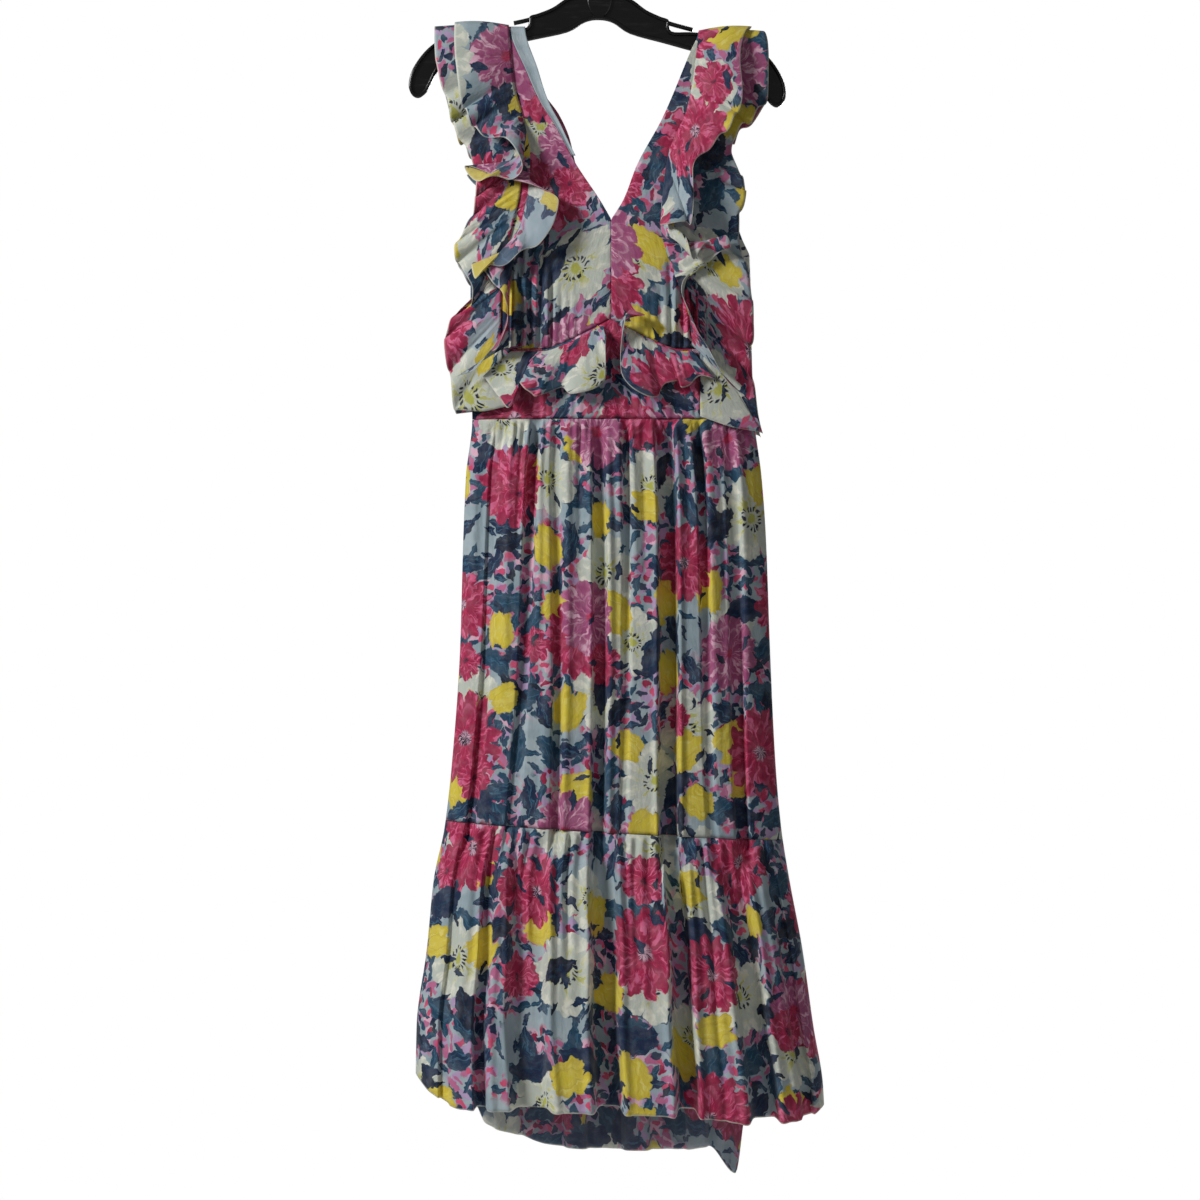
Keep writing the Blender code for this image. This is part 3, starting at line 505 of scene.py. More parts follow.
def bodice_surface(face, half, share, run):
    """Bodice half; share is 0 at the armhole and 1 at the neck, run is 0 on the shoulder and 1 below."""
    necks = {
        (-1, "left"): FRONT_NECK_LEFT, (-1, "right"): FRONT_NECK_RIGHT,
        (1, "left"): BACK_NECK_LEFT, (1, "right"): BACK_NECK_RIGHT,
    }
    turn, plain = over_strap(half, run * strap_length(half, RAISED_SEAM - SEAM_GAP / 2))
    neck = seam_x(necks[face, half], plain)
    armhole = seam_x(ARMHOLE_LEFT if half == "left" else ARMHOLE_RIGHT, plain)
    armhole = np.where(plain > UNDERARM_DROP, level(half, plain), armhole)
    x = armhole + (neck - armhole) * share
    peak = raised_seam(x) - RAISED_SEAM if face < 0 else 0.0
    drop = plain + peak * ease(BODICE_GATHER_TOP, RAISED_SEAM, plain)
    y = np.sin(turn) * body_depth(face, x, plain)
    low = np.where(plain > STRAP_END, SIDE_GAP / 2, SEAM_GAP / 2)
    y = np.where(np.abs(y) < low, face * low, y)
    return x, y, drop


def waistband_surface(face, share, run):
    left = level("left", RAISED_SEAM)
    right = level("right", RAISED_SEAM)
    start = raised_seam(left + (right - left) * share) if face < 0 else RAISED_SEAM
    drop = start + SEAM_GAP / 2 + (WAIST_SEAM - SEAM_GAP - start) * run
    left = level("left", drop)
    x = left + (level("right", drop) - left) * share
    return x, closed_depth(face, x, drop), drop


def tier_seam(share):
    return TIER_SEAM_LEFT + (TIER_SEAM_RIGHT - TIER_SEAM_LEFT) * share


def skirt_surface(face, share, run):
    folds = SKIRT_FRONT_FOLDS if face < 0 else SKIRT_BACK_FOLDS
    start = WAIST_SEAM + SEAM_GAP / 2
    drop = start + (tier_seam(share) - SEAM_GAP / 2 - start) * run
    left = level("left", drop)
    width = level("right", drop) - left
    x = left + width * share
    push = fold_depth(folds, share, width, run) * ease(-0.02, 0.07, run) * edge_fade(share)
    return x, closed_depth(face, x, drop) - face * push, drop


def hem_drop(face, share):
    hem = HEM_FRONT if face < 0 else HEM_BACK
    return smooth(column(hem, "share"), column(hem, "drop"), share)


def seam_root(face, half, seam, shift, along):
    """Point on the bodice under a ruffle's seam, moved out from its surface; along runs 0 to 1."""
    turn, drop = over_strap(half, along * strap_length(half, RAISED_SEAM - 4.0), LAID_ON)
    x = seam_x(seam, drop) + shift
    y = np.sin(turn) * (body_depth(face, x, drop) + face * LAID_ON)
    return x, y, drop, turn


def waist_ruffle(face, edge, start, end, columns):
    """A short ruffle hanging from the raised seam between two places across."""
    count = len(edge) - 1
    place = np.linspace(0.0, count, columns + 1)[None, :]
    keys = range(len(edge))
    x = start + (end - start) * smooth(keys, column(edge, "seam"), place)
    drop = (raised_seam(x) if face < 0 else x * 0 + RAISED_SEAM) + WAIST_ROOT
    y = body_depth(face, x, drop) + face * LAID_ON
    free = [smooth(keys, column(edge, name), place) for name in ("x", "y", "drop")]
    along = down(WAIST_RUFFLE_ROWS)
    hump = face * WAIST_HUMP * np.sin(math.pi * along)
    root = (x, y, drop)
    x, y, drop = (a + (b - a) * along for a, b in zip(root, free))
    return x, y + hump, drop


def back_waist_edge():
    """The back's waist ruffle falls in even waves."""
    count = 2 * BACK_WAIST_WAVES
    rows = []
    for i in range(count + 1):
        share = i / count
        drop, out = BACK_WAIST_RIDGE if i % 2 else BACK_WAIST_VALLEY
        x = BACK_WAIST_LEFT + (BACK_WAIST_RIGHT - BACK_WAIST_LEFT) * share
        depth = float(body_depth(1, np.array(x), np.array(WAIST_SEAM))) + out
        rows.append(Edge(share, x * BACK_WAIST_FLARE, drop, depth))
    return tuple(rows)


def hook_path():
    """From the hook's free end over the top and down to the neck, along the wire's middle, in mm."""
    radius = HOOK_BEND + HOOK_WIRE / 2
    top = HOOK_WIRE / 2
    points = []
    for i in range(19):
        turn = math.radians(HOOK_FREE_END + (90.0 - HOOK_FREE_END) * i / 18)
        points.append((radius * math.sin(turn), radius * (math.cos(turn) - 1) + top))
    join = radius * 0.62
    for i in range(1, 6):
        turn = math.radians(90 * i / 5)
        points.append((
            radius - join * (1 - math.cos(turn)) * radius / join,
            top - radius - join * 1.2 * math.sin(turn),
        ))
    points.append((0.0, -HOOK_STEM_END))
    return points


def wander(place, length, seed, lag=0.0):
    """A wave along a place in millimetres, uneven in spacing and in height, from -1 to 1.

    Its factors have no common measure, so it doesn't repeat; lag shifts it, for a curl.
    """
    turn = 2 * math.pi * place / length
    turn = turn + 1.4 * np.sin(turn * 0.171 + seed) + 0.9 * np.sin(turn * 0.377 + 2.1 * seed)
    height = 0.68 + 0.32 * np.sin(turn * 0.29 + 1.7 * seed)
    return np.cos(turn - lag) * height


def crease_depth(creases, share, width, along):
    """How far the creases push a panel in; one that ends at 1 runs down to the panel's edge."""
    total = 0.0
    for crease in creases:
        place = crease.top + (crease.low - crease.top) * along
        reach = ease(crease.start - CREASE_FADE, crease.start + CREASE_FADE, along)
        if crease.end < 1.0:
            reach = reach * (1 - ease(crease.end - 2 * CREASE_FADE, crease.end + 0.04, along))
        shape = np.exp(-(((share - place) * width / crease.width) ** 2))
        total = total + crease.depth * reach * shape
    return total


def seam_dip(distance):
    """How far the cloth turns in beside a seam, by the distance from it in millimetres."""
    return SEAM_DIP * np.exp(-((distance / SEAM_DIP_WIDTH) ** 2))


def drape(place, drop, seed):
    """Slow unevenness of hanging cloth, in millimetres."""
    return (
        0.9 * np.sin(place / 31.0 + 0.9 * seed + 0.6 * np.sin(drop / 120.0 + seed))
        + 0.6 * np.sin(place / 17.0 + drop / 210.0 + 2.3 * seed)
        + 0.35 * np.sin(place / 9.0 - drop / 95.0 + 1.1 * seed)
    )


def lengths_of(grid, cut):
    """Flat-cut coordinates of a grid of points, in metres: along the rows from the middle, and down.

    A strip was cut straight, so all its rows share the lengths of one between its seam and its edge.
    A flared panel was cut with straight sides, and on a shaped one the widths only change slowly.
    """
    step = np.linalg.norm(np.diff(grid, axis=1), axis=-1)
    if cut == "strip":
        low = step[int(STRIP_ROW * len(step))]
        low = STRIP_SEAM_SHARE * step[0] + (1 - STRIP_SEAM_SHARE) * low
        step = np.broadcast_to(low, step.shape)
    u = np.concatenate([np.zeros((grid.shape[0], 1)), np.cumsum(step, axis=1)], axis=1)
    step = np.linalg.norm(np.diff(grid, axis=0), axis=-1)
    v = np.concatenate([np.zeros((1, grid.shape[1])), np.cumsum(step, axis=0)], axis=0)
    if cut == "flared":
        down = v.mean(axis=1)
        sides = np.polyfit(down[len(down) // 6:], u[len(down) // 6:, -1], 1)
        u = u / u[:, -1:] * np.polyval(sides, down)[:, None]
    u = u - u[:, u.shape[1] // 2][:, None]
    return u, v


def cloth(name, surface, looks, flip, cut="shaped"):
    """A thin shell on a grid of points, with the printed side out and flat-cut coordinates.

    A strip is gathered at its seam and ends in a free hem.
    """
    size = CUTS[name]
    grid = stacked(*surface)
    rows, columns = grid.shape[:2]
    u, v = lengths_of(grid, cut)
    index = np.arange(rows * columns).reshape(rows, columns)
    corners = (index[:-1, :-1], index[:-1, 1:], index[1:, 1:], index[1:, :-1])
    quads = np.stack(corners, axis=-1).reshape(-1, 4)
    if flip:
        quads = quads[:, ::-1]
    mesh = bpy.data.meshes.new(name)
    mesh.from_pydata(grid.reshape(-1, 3).tolist(), [], quads.tolist())
    flat = np.stack([u + size.start[0], size.start[1] - v], axis=-1).reshape(-1, 2)
    from_edge = (v[-1:] - v) if cut == "strip" else np.full_like(v, NO_HEM)
    edge = np.stack([u, from_edge], axis=-1).reshape(-1, 2)
    for title, values in (("cloth", flat), ("edge", edge)):
        layer = mesh.uv_layers.new(name=title)
        layer.data.foreach_set("uv", values[quads.reshape(-1)].reshape(-1).astype(np.float32))
    mesh.uv_layers.active = mesh.uv_layers["cloth"]
    for look in looks:
        mesh.materials.append(look)
    mesh.shade_smooth()
    made = bpy.data.objects.new(f"{name}_cloth", mesh)
    bpy.context.scene.collection.objects.link(made)
    wall = made.modifiers.new("Shell", "SOLIDIFY")
    wall.thickness = SHELL * MM
    wall.offset = 0.0
    wall.use_even_offset = False
    wall.material_offset = len(looks) - 1
    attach(made, "root")
    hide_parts(name)


def even_columns(count):
    return np.linspace(0.0, 1.0, count + 1)[None, :]


def dress_bodice(look):
    for face, word, columns, rows in ((-1, "front", 96, 120), (1, "back", 60, 84)):
        share = even_columns(columns)
        bend, straight = np.linspace(0.0, 0.05, 12), np.linspace(0.06, 1.0, rows - 12)
        run = np.concatenate([bend, straight])[:, None]
        for half, flip, seed in (("left", face < 0, 1.0), ("right", face > 0, 2.2)):
            x, y, drop = np.broadcast_arrays(*bodice_surface(face, half, share, run))
            joined = drop > CENTRE_SEAM_TOP
            meet = (SEAM_GAP / 2 + SEAM_OVERLAP) * ease(0.9, 1.0, share) * joined
            x = x + (meet if half == "left" else -meet)
            below = raised_seam(x) if face < 0 else RAISED_SEAM
            fade = ease(BODICE_GATHER_TOP, RAISED_SEAM, drop)
            place = np.exp(-(((share - BODICE_GATHER_PLACE) / BODICE_GATHER_SPREAD) ** 2))
            wave = wander(x, BODICE_GATHER, seed)
            push = BODICE_GATHER_DEPTH * fade**1.5 * (0.25 + 0.75 * place) * wave
            if face < 0:
                creases = crease_depth(BODICE_CREASES, share, BODICE_HALF_WIDTH, run)
                push = push + creases * ease(0.0, 4.0, below - drop)
            slack = ease(200.0, 330.0, drop) * (1 - fade) * edge_fade(share)
            push = push + drape(x, drop, 3.0) * slack
            push = push + seam_dip(np.abs(x - CENTRE_X)) * joined
            push = push + seam_dip(below - drop)
            cloth(f"bodice_{word}_{half}", (x, y - face * push, drop), look, flip)


def dress_neck_lining(look):
    """It starts a little inside the bodice's neck edge and bellies slightly between its own edges."""
    share = even_columns(10)
    turn, drop = over_strap("left", np.linspace(1.0, LINING_LENGTH, 70)[:, None])
    width = seam_x(LINING_WIDTH, drop) + LINING_START - LINING_INSET
    x = seam_x(FRONT_NECK_LEFT, drop) + LINING_INSET + width * share
    y = np.sin(turn) * (body_depth(-1, x, drop) + LINING_BELLY * np.sin(math.pi * share))
    cloth("neck_lining_left", (x, y, drop), look, True)


def dress_waistband(look):
    for face, word, columns, rows in ((-1, "front", 220, 26), (1, "back", 140, 18)):
        share = across(columns)[None, :]
        x, y, drop = np.broadcast_arrays(*waistband_surface(face, share, down(rows)))
        top = raised_seam(x) if face < 0 else RAISED_SEAM
        push = seam_dip(drop - top) + seam_dip(WAIST_SEAM - drop)
        near = np.minimum(drop - top, WAIST_SEAM - drop)
        ripple = BAND_RIPPLE_DEPTH * wander(x, BAND_RIPPLE, 0.7)
        push = push + ripple * ease(0.0, 6.0, near) * edge_fade(share)
        push = push + 0.5 * drape(x, drop, 5.0) * ease(0.0, 8.0, near) * edge_fade(share)
        cloth(f"waistband_{word}", (x, y - face * push, drop), look, face < 0)


def dress_skirt(look):
    plan = (
        (-1, "front", 300, 130, SKIRT_FRONT_CREASES, 1.0),
        (1, "back", 200, 90, SKIRT_BACK_CREASES, 2.6),
    )
    for face, word, columns, rows, creases, seed in plan:
        share = across(columns)[None, :]
        run = down(rows, 1.25)
        x, y, drop = np.broadcast_arrays(*skirt_surface(face, share, run))
        width = level("right", drop) - level("left", drop)
        from_top = drop - WAIST_SEAM
        free = ease(0.0, 14.0, from_top) * edge_fade(share)
        push = crease_depth(creases, share, width, run) * free
        gather = wander(share * WAIST_WIDTH, WAIST_GATHER, seed) * WAIST_GATHER_DEPTH
        fade = np.exp(-from_top / WAIST_GATHER_LENGTH) * ease(0.0, 9.0, from_top)
        push = push + gather * fade * edge_fade(share)
        push = push + drape(share * SKIRT_WIDTH, drop, seed) * free
        push = push + seam_dip(from_top) + seam_dip(tier_seam(share) - drop)
        cloth(f"skirt_{word}", (x, y - face * push, drop), look, face < 0, "flared")


def dress_tier(look):
    plan = (
        (-1, "front", 380, 90, TIER_FRONT_FOLDS, SKIRT_FRONT_FOLDS, TIER_FRONT_CREASES, 1.3),
        (1, "back", 300, 84, TIER_BACK_FOLDS, SKIRT_BACK_FOLDS, TIER_BACK_CREASES, 2.9),
    )
    for face, word, columns, rows, folds, upper, creases, seed in plan:
        share = across(columns)[None, :]
        run = down(rows, 1.25)
        start = tier_seam(share) + SEAM_GAP / 2
        from_top = (hem_drop(face, share) - start) * run
        drop = start + from_top
        left = level("left", drop)
        width = level("right", drop) - left
        x = left + width * share
        own = ease(0.0, TIER_FOLD_START, run)
        push = fold_depth(folds, share, width, run) * own
        push = push + fold_depth(upper, share, width, 1.0) * (1 - own)
        push = push + crease_depth(creases, share, width, run) * own
        gather = wander(share * TIER_SEAM_WIDTH, TIER_GATHER, seed) * TIER_GATHER_DEPTH
        push = push + gather * np.exp(-from_top / TIER_GATHER_LENGTH) * ease(0.0, 7.0, from_top)
        push = push - TIER_PUFF * ease(0.0, 9.0, from_top)
        push = push + drape(share * TIER_WIDTH, drop, seed) * own
        push = push * edge_fade(share)
        y = closed_depth(face, x, drop) - face * (push + seam_dip(from_top))
        drop = drop - HEM_LIFT * push * ease(0.5, 1.0, run)
        cloth(f"tier_{word}", (x, y, drop), look, face < 0, "strip")


def ruffle(half, seam, shift, edge, columns, rows, bulge, seed):
    """A strip from its seam to its free edge, up the back, over the shoulder and down the front.

    It has small pleats at its seam, and waves at its edge, which curls over at their crests.
    """
    whole = [row._replace(seam=-row.seam, y=-row.y) for row in reversed(edge[1:])] + list(edge)
    count = len(edge) - 1
    keys = range(-count, count + 1)
    place = np.linspace(-count, count, columns + 1)[None, :]
    along = down(rows)
    share = smooth(keys, column(whole, "seam"), place)
    front = seam_root(-1, half, seam, shift, np.abs(share))
    back = seam_root(1, half, seam, shift, np.abs(share))
    *root, turn = [np.where(share < 0, b, f) for f, b in zip(front, back)]
    free = [smooth(keys, column(whole, name), place) for name in ("x", "y", "drop")]
    belly = np.sin(math.pi * along)
    pleats = wander(share * RUFFLE_SEAM_LENGTH, RUFFLE_PLEAT, seed)
    clear = ease(0.05, 0.12, np.abs(share))
    waves = (share * RUFFLE_LENGTH, RUFFLE_WAVE, seed + 1.0)
    curl = RUFFLE_CURL * wander(*waves, math.pi / 2) * along**2 * clear
    hump = bulge * belly + RUFFLE_PLEAT_DEPTH * pleats * belly * (1 - along)
    hump = hump + RUFFLE_WAVE_DEPTH * wander(*waves) * along**1.7 * clear
    x, y, drop = (a + (b - a) * along for a, b in zip(root, free))
    y = y - np.sign(share) * (np.sin(turn) * hump + np.cos(turn) * curl)
    return x, y, drop - np.cos(turn) * np.abs(hump) + np.sin(turn) * curl


def dress_ruffles(look):
    for half, seam, shift, inner, outer in (
        ("left", INNER_SEAM_LEFT, -OUTER_SEAM_SHIFT, INNER_EDGE_LEFT, OUTER_EDGE_LEFT),
        ("right", INNER_SEAM_RIGHT, OUTER_SEAM_SHIFT, INNER_EDGE_RIGHT, OUTER_EDGE_RIGHT),
    ):
        for word, *shape in (
            ("inner", 0.0, inner, 600, 22, INNER_HUMP, 1.0),
            ("outer", shift, outer, 520, 20, OUTER_HUMP, 4.0),
        ):
            cloth(f"ruffle_{word}_{half}", ruffle(half, seam, *shape), look, half == "left", "strip")


def turned_end(x, y, drop):
    """The end of a waist ruffle at the middle, turned back over itself and up past the seam."""
    share = np.linspace(1.0, 0.0, TURNED_END_COLUMNS + 1)[None, :-1]
    along = down(WAIST_RUFFLE_ROWS)
    width = TURNED_END_WIDTH * np.sin(math.pi * (0.13 + 0.87 * along)) ** 0.8
    end_x = x[:, :1] + width * share
    behind = np.stack([np.interp(end_x[row], x[row], y[row]) for row in range(len(x))])
    clear, belly, lift = 2.5, 3.0, 4.5
    forward = clear + belly * np.sin(math.pi * share) + lift * (1 - along)
    end_y = np.minimum(behind, y[:, :1]) - ease(0.0, 0.35, share) * forward
    end_drop = drop[:, :1] - TURNED_END_RISE * (1 - along) ** 2 * share
    ends = (end_x, end_y, end_drop)
    return [np.concatenate([end, whole], axis=1) for end, whole in zip(ends, (x, y, drop))]


def dress_waist_ruffles(look):
    along = down(WAIST_RUFFLE_ROWS)
    for word, face, edge, start, end, columns in (
        ("front_left", -1, WAIST_EDGE_LEFT, -104.0, 1.0, 210),
        ("front_right", -1, WAIST_EDGE_RIGHT, 19.0, 104.0, 180),
        ("back", 1, back_waist_edge(), BACK_WAIST_LEFT, BACK_WAIST_RIGHT, 300),
    ):
        x, y, drop = waist_ruffle(face, edge, start, end, columns)
        place = np.linspace(0.0, end - start, columns + 1)[None, :]
        pleats = WAIST_PLEAT_DEPTH * wander(place, WAIST_PLEAT, 2.0)
        rim = WAIST_RUFFLE_WAVE_DEPTH * wander(place, WAIST_RUFFLE_WAVE, 3.0) * along**1.8
        curl = WAIST_RUFFLE_CURL * wander(place, WAIST_RUFFLE_WAVE, 3.0, math.pi / 2) * along**2
        out = pleats * np.sin(math.pi * along) * (1 - along) + rim
        surface = np.broadcast_arrays(x + curl, y + face * out, drop)
        if word == "front_right":
            surface = turned_end(*surface)
        cloth(f"ruffle_waist_{word}", surface, look, face < 0, "strip")


def srgb(code):
    """Linear colour from a six-figure sRGB code."""
    parts = [int(code[i:i + 2], 16) / 255 for i in (0, 2, 4)]
    return tuple(p / 12.92 if p <= 0.04045 else ((p + 0.055) / 1.055) ** 2.4 for p in parts) + (1.0,)


def operation(kind):
    """A method that adds a Math node of one kind."""
    return lambda wiring, *values: wiring.math(kind, *values)


class Wiring:
    """Short names for the shader nodes of one node tree."""

    add, sub = operation("ADD"), operation("SUBTRACT")
    mul, div = operation("MULTIPLY"), operation("DIVIDE")
    mul_add, power = operation("MULTIPLY_ADD"), operation("POWER")
    sin, cos = operation("SINE"), operation("COSINE")
    sqrt, size = operation("SQRT"), operation("ABSOLUTE")
    less, more = operation("LESS_THAN"), operation("GREATER_THAN")
    turn = operation("ARCTAN2")

    def __init__(self, tree):
        self.tree = tree

    def node(self, kind, inputs=(), **settings):
        made = self.tree.nodes.new(kind)
        for name, value in settings.items():
            setattr(made, name, value)
        for name, value in dict(inputs).items():
            self.feed(made.inputs[name], value)
        return made

    def feed(self, socket, value):
        if isinstance(value, bpy.types.NodeSocket):
            self.tree.links.new(value, socket)
        else:
            socket.default_value = value

    def math(self, kind, *values):
        return self.node("ShaderNodeMath", enumerate(values), operation=kind).outputs[0]

    def vector(self, kind, *values):
        made = self.node("ShaderNodeVectorMath", enumerate(values), operation=kind)
        return made.outputs["Vector"]

    def rest(self, value):
        return self.sub(1.0, value)

    def length(self, x, y):
        return self.sqrt(self.add(self.mul(x, x), self.mul(y, y)))

    def split(self, value):
        return self.node("ShaderNodeSeparateXYZ", {"Vector": value}).outputs

    def join(self, x, y, z=0.0):
        return self.node("ShaderNodeCombineXYZ", {"X": x, "Y": y, "Z": z}).outputs["Vector"]

    def noise(self, vector, scale, detail=2.0, dimensions="2D"):
        made = self.node(
            "ShaderNodeTexNoise",
            {"Vector": vector, "Scale": scale, "Detail": detail, "Roughness": 0.55},
            noise_dimensions=dimensions,
        )
        return made.outputs["Fac"]

    def ramp(self, value, low, high):
        """0 below low, 1 above high and smooth between."""
        made = self.node(
            "ShaderNodeMapRange", {"Value": value, "From Min": low, "From Max": high},
            interpolation_type="SMOOTHSTEP",
        )
        return made.outputs["Result"]

    def mix(self, share, under, over):
        """Two colours; the Mix node has its colour sockets in these places."""
        made = self.node("ShaderNodeMix", data_type="RGBA", clamp_factor=True)
        for place, value in ((0, share), (6, under), (7, over)):
            self.feed(made.inputs[place], value)
        return made.outputs[2]

    def map(self, name):
        return self.node("ShaderNodeUVMap", uv_map=name).outputs["UV"]

    def object_place(self):
        return self.node("ShaderNodeTexCoord").outputs["Object"]

    def bump(self, shader, height, strength):
        made = self.node("ShaderNodeBump", {"Height": height, "Strength": strength, "Distance": 1.0})
        self.feed(shader.inputs["Normal"], made.outputs["Normal"])


def scattered(w, place, spacing, turn, shift, jitter):
    """Places one motif in each cell: its distance, angle, two axes and two random numbers."""
    turned = w.node(
        "ShaderNodeMapping",
        {"Vector": place, "Rotation": (0, 0, math.radians(turn)), "Location": (*shift, 0)},
    ).outputs["Vector"]
    cells = w.node(
        "ShaderNodeTexVoronoi", {"Vector": turned, "Scale": 1.0 / spacing, "Randomness": jitter},
        voronoi_dimensions="2D",
    ).outputs
    red, green, blue = w.node("ShaderNodeSeparateColor", {"Color": cells["Color"]}).outputs[:3]
    x, y, _ = w.split(w.vector("SUBTRACT", turned, cells["Position"]))
    angle = w.mul(blue, 2 * math.pi)
    cosine, sine = w.cos(angle), w.sin(angle)
    a = w.add(w.mul(x, cosine), w.mul(y, sine))
    b = w.sub(w.mul(y, cosine), w.mul(x, sine))
    return w.length(x, y), w.turn(b, a), a, b, red, green


def painted(w, under, inside, random, share, colour):
    """The motif's colour inside its outline, in the share of the cells that have a motif."""
    return w.mix(w.mul(inside, w.less(random, share)), under, colour)


def petals(w, around, count, phase, sharpness):
    """0 between two petals and 1 at the middle of each."""
    return w.power(w.size(w.cos(w.mul_add(around, count / 2, phase))), sharpness)


def streaks(w, around, distance, seed, fine=3.2, long=28.0):
    """Brush marks that run out from the middle of a bloom."""
    spot = w.join(
        w.mul(w.cos(around), fine), w.mul(w.sin(around), fine),
        w.mul_add(distance, long, w.mul(seed, 40.0)),
    )
    return w.noise(spot, 1.6, 2.0, "3D")


def marks_along(w, a, b, seed, long, fine):
    """Brush marks that run along a petal or a leaf."""
    return w.noise(w.join(w.mul(a, long), w.mul_add(b, fine, w.mul(seed, 30.0))), 1.0, 3.0)


def bloom(w, under, spot, size, count, chance, colours, eye, sharpness=0.6, depth=0.28):
    """A many-petalled bloom in two or three rings, painted over what is under it."""
    distance, around, _, _, red, green = spot
    base, deep, pale = colours
    radius = w.mul(size, w.mul_add(red, 0.35, 0.78))
    mark = streaks(w, around, distance, green)
    shape = petals(w, around, count, 0.0, sharpness)
    reach = w.mul(w.mul_add(mark, 0.22, 0.89), w.mul_add(shape, depth, 1 - depth))
    inside = w.ramp(w.sub(w.mul(radius, reach), distance), 0.0, 0.0016)
    share = w.div(distance, radius)
    colour = w.mix(w.ramp(mark, 0.42, 0.62), deep, base)
    colour = w.mix(w.mul(w.ramp(mark, 0.54, 0.62), w.ramp(share, 0.12, 0.45)), colour, pale)
    gap = w.rest(w.ramp(shape, 0.10, 0.42))
    colour = w.mix(w.mul(gap, w.ramp(share, 0.35, 0.6)), colour, deep)
    ring = w.sub(w.mul_add(petals(w, around, count * 0.75, 1.3, 0.7), 0.20, 0.46), share)
    edge = w.mul(w.ramp(ring, -0.05, 0.0), w.rest(w.ramp(ring, 0.0, 0.10)))
    colour = w.mix(w.mul(edge, 0.38), colour, pale)
    shade = w.mul(w.ramp(ring, -0.16, -0.05), w.rest(w.ramp(ring, -0.05, -0.01)))
    colour = w.mix(w.mul(shade, 0.45), colour, deep)
    middle = w.rest(w.ramp(share, 0.10, 0.20))
    colour = w.mix(middle, colour, w.mix(w.ramp(mark, 0.45, 0.55), *eye))
    return painted(w, under, inside, green, chance, colour)


def anemone(w, under, spot, size, chance, colours, eye):
    """A broad pale bloom with rounded petals and a few coloured strokes at its middle."""
    distance, around, _, _, red, green = spot
    pale, shade, stroke = colours
    radius = w.mul(size, w.mul_add(red, 0.35, 0.78))
    mark = streaks(w, around, distance, green, 2.4, 40.0)
    shape = petals(w, around, 7, 0.4, 0.45)
    rim = w.mul(radius, w.mul_add(shape, 0.34, w.mul_add(mark, 0.2, 0.56)))
    inside = w.ramp(w.sub(rim, distance), 0.0, 0.0015)
    share = w.div(distance, radius)
    colour = w.mix(w.ramp(mark, 0.46, 0.66), shade, pale)
    gap = w.rest(w.ramp(shape, 0.25, 0.55))
    colour = w.mix(w.mul(w.mul(gap, 0.6), w.ramp(share, 0.25, 0.5)), colour, shade)
    rays = w.mul(w.ramp(mark, 0.53, 0.60), w.rest(w.ramp(share, 0.35, 0.68)))
    colour = w.mix(w.mul(rays, 0.9), colour, stroke)
    seeds = petals(w, around, 15, 0.0, 1.0)
    dots = w.mul(w.ramp(seeds, 0.55, 0.85), w.ramp(share, 0.17, 0.21))
    colour = w.mix(w.mul(dots, w.rest(w.ramp(share, 0.27, 0.31))), colour, eye[1])
    colour = w.mix(w.rest(w.ramp(share, 0.09, 0.14)), colour, eye[0])
    return painted(w, under, inside, green, chance, colour)


def tulip(w, under, spot, size, chance, colours):
    """A cupped bloom seen from the side: three overlapping petals with marks along them."""
    _, _, lx, ly, red, green = spot
    base, deep, pale = colours
    length = w.mul(size, w.mul_add(red, 0.4, 0.75))
    a, b = w.div(lx, length), w.div(ly, length)
    mark = marks_along(w, a, b, green, 1.5, 9.0)
    for along, side, narrow, tint in (
        (-0.05, 0.38, 0.42, deep), (-0.05, -0.38, 0.42, deep), (0.10, 0.0, 0.46, base),
    ):
        far = w.length(w.sub(a, along), w.div(w.sub(b, side), narrow))
        far = w.add(far, w.mul_add(mark, 0.3, -0.15))
        body = w.mix(w.ramp(mark, 0.30, 0.62), w.mix(0.5, tint, base), base)
        body = w.mix(w.mul(w.ramp(mark, 0.54, 0.74), 0.6), body, pale)
        body = w.mix(w.mul(w.ramp(far, 0.62, 0.76), 0.55), body, deep)
        under = painted(w, under, w.rest(w.ramp(far, 0.80, 0.86)), green, chance, body)
    return under


def leaf(w, under, spot, size, narrow, chance, colours):
    """A pointed leaf with a lighter rib and brush marks along it."""
    _, _, lx, ly, red, green = spot
    dark, mid, light = colours
    length = w.mul(size, w.mul_add(red, 0.5, 0.7))
    a = w.div(lx, length)
    b = w.add(w.div(ly, length), w.mul(w.mul(a, a), w.mul_add(red, 0.5, -0.25)))
    mark = marks_along(w, a, b, green, 2.0, 12.0)
    half = w.mul(w.mul(narrow, w.rest(w.mul(a, a))), w.mul_add(mark, 0.6, 0.7))
    inside = w.ramp(w.sub(half, w.size(b)), 0.0, 0.035)
    tone = w.mix(w.ramp(w.mul_add(mark, 0.5, w.mul(red, 0.5)), 0.40, 0.60), dark, mid)
    tone = w.mix(w.mul(w.ramp(mark, 0.58, 0.70), 0.8), tone, light)
    rib = w.rest(w.ramp(w.size(b), 0.012, 0.035))
    tone = w.mix(w.mul(rib, 0.55), tone, light)
    return painted(w, under, inside, green, chance, tone)


def sprigs(w, under, spot, size, patch, colours):
    """Small dabs in patches, each its own colour."""
    _, _, lx, ly, _, green = spot
    far = w.length(w.div(lx, size), w.div(ly, w.mul(size, 0.52)))
    tone = colours[0]
    for limit, other in zip((0.35, 0.58, 0.78, 0.90), colours[1:]):
        tone = w.mix(w.more(green, limit), tone, other)
    return w.mix(w.mul(w.rest(w.ramp(far, 0.75, 1.0)), patch), under, tone)


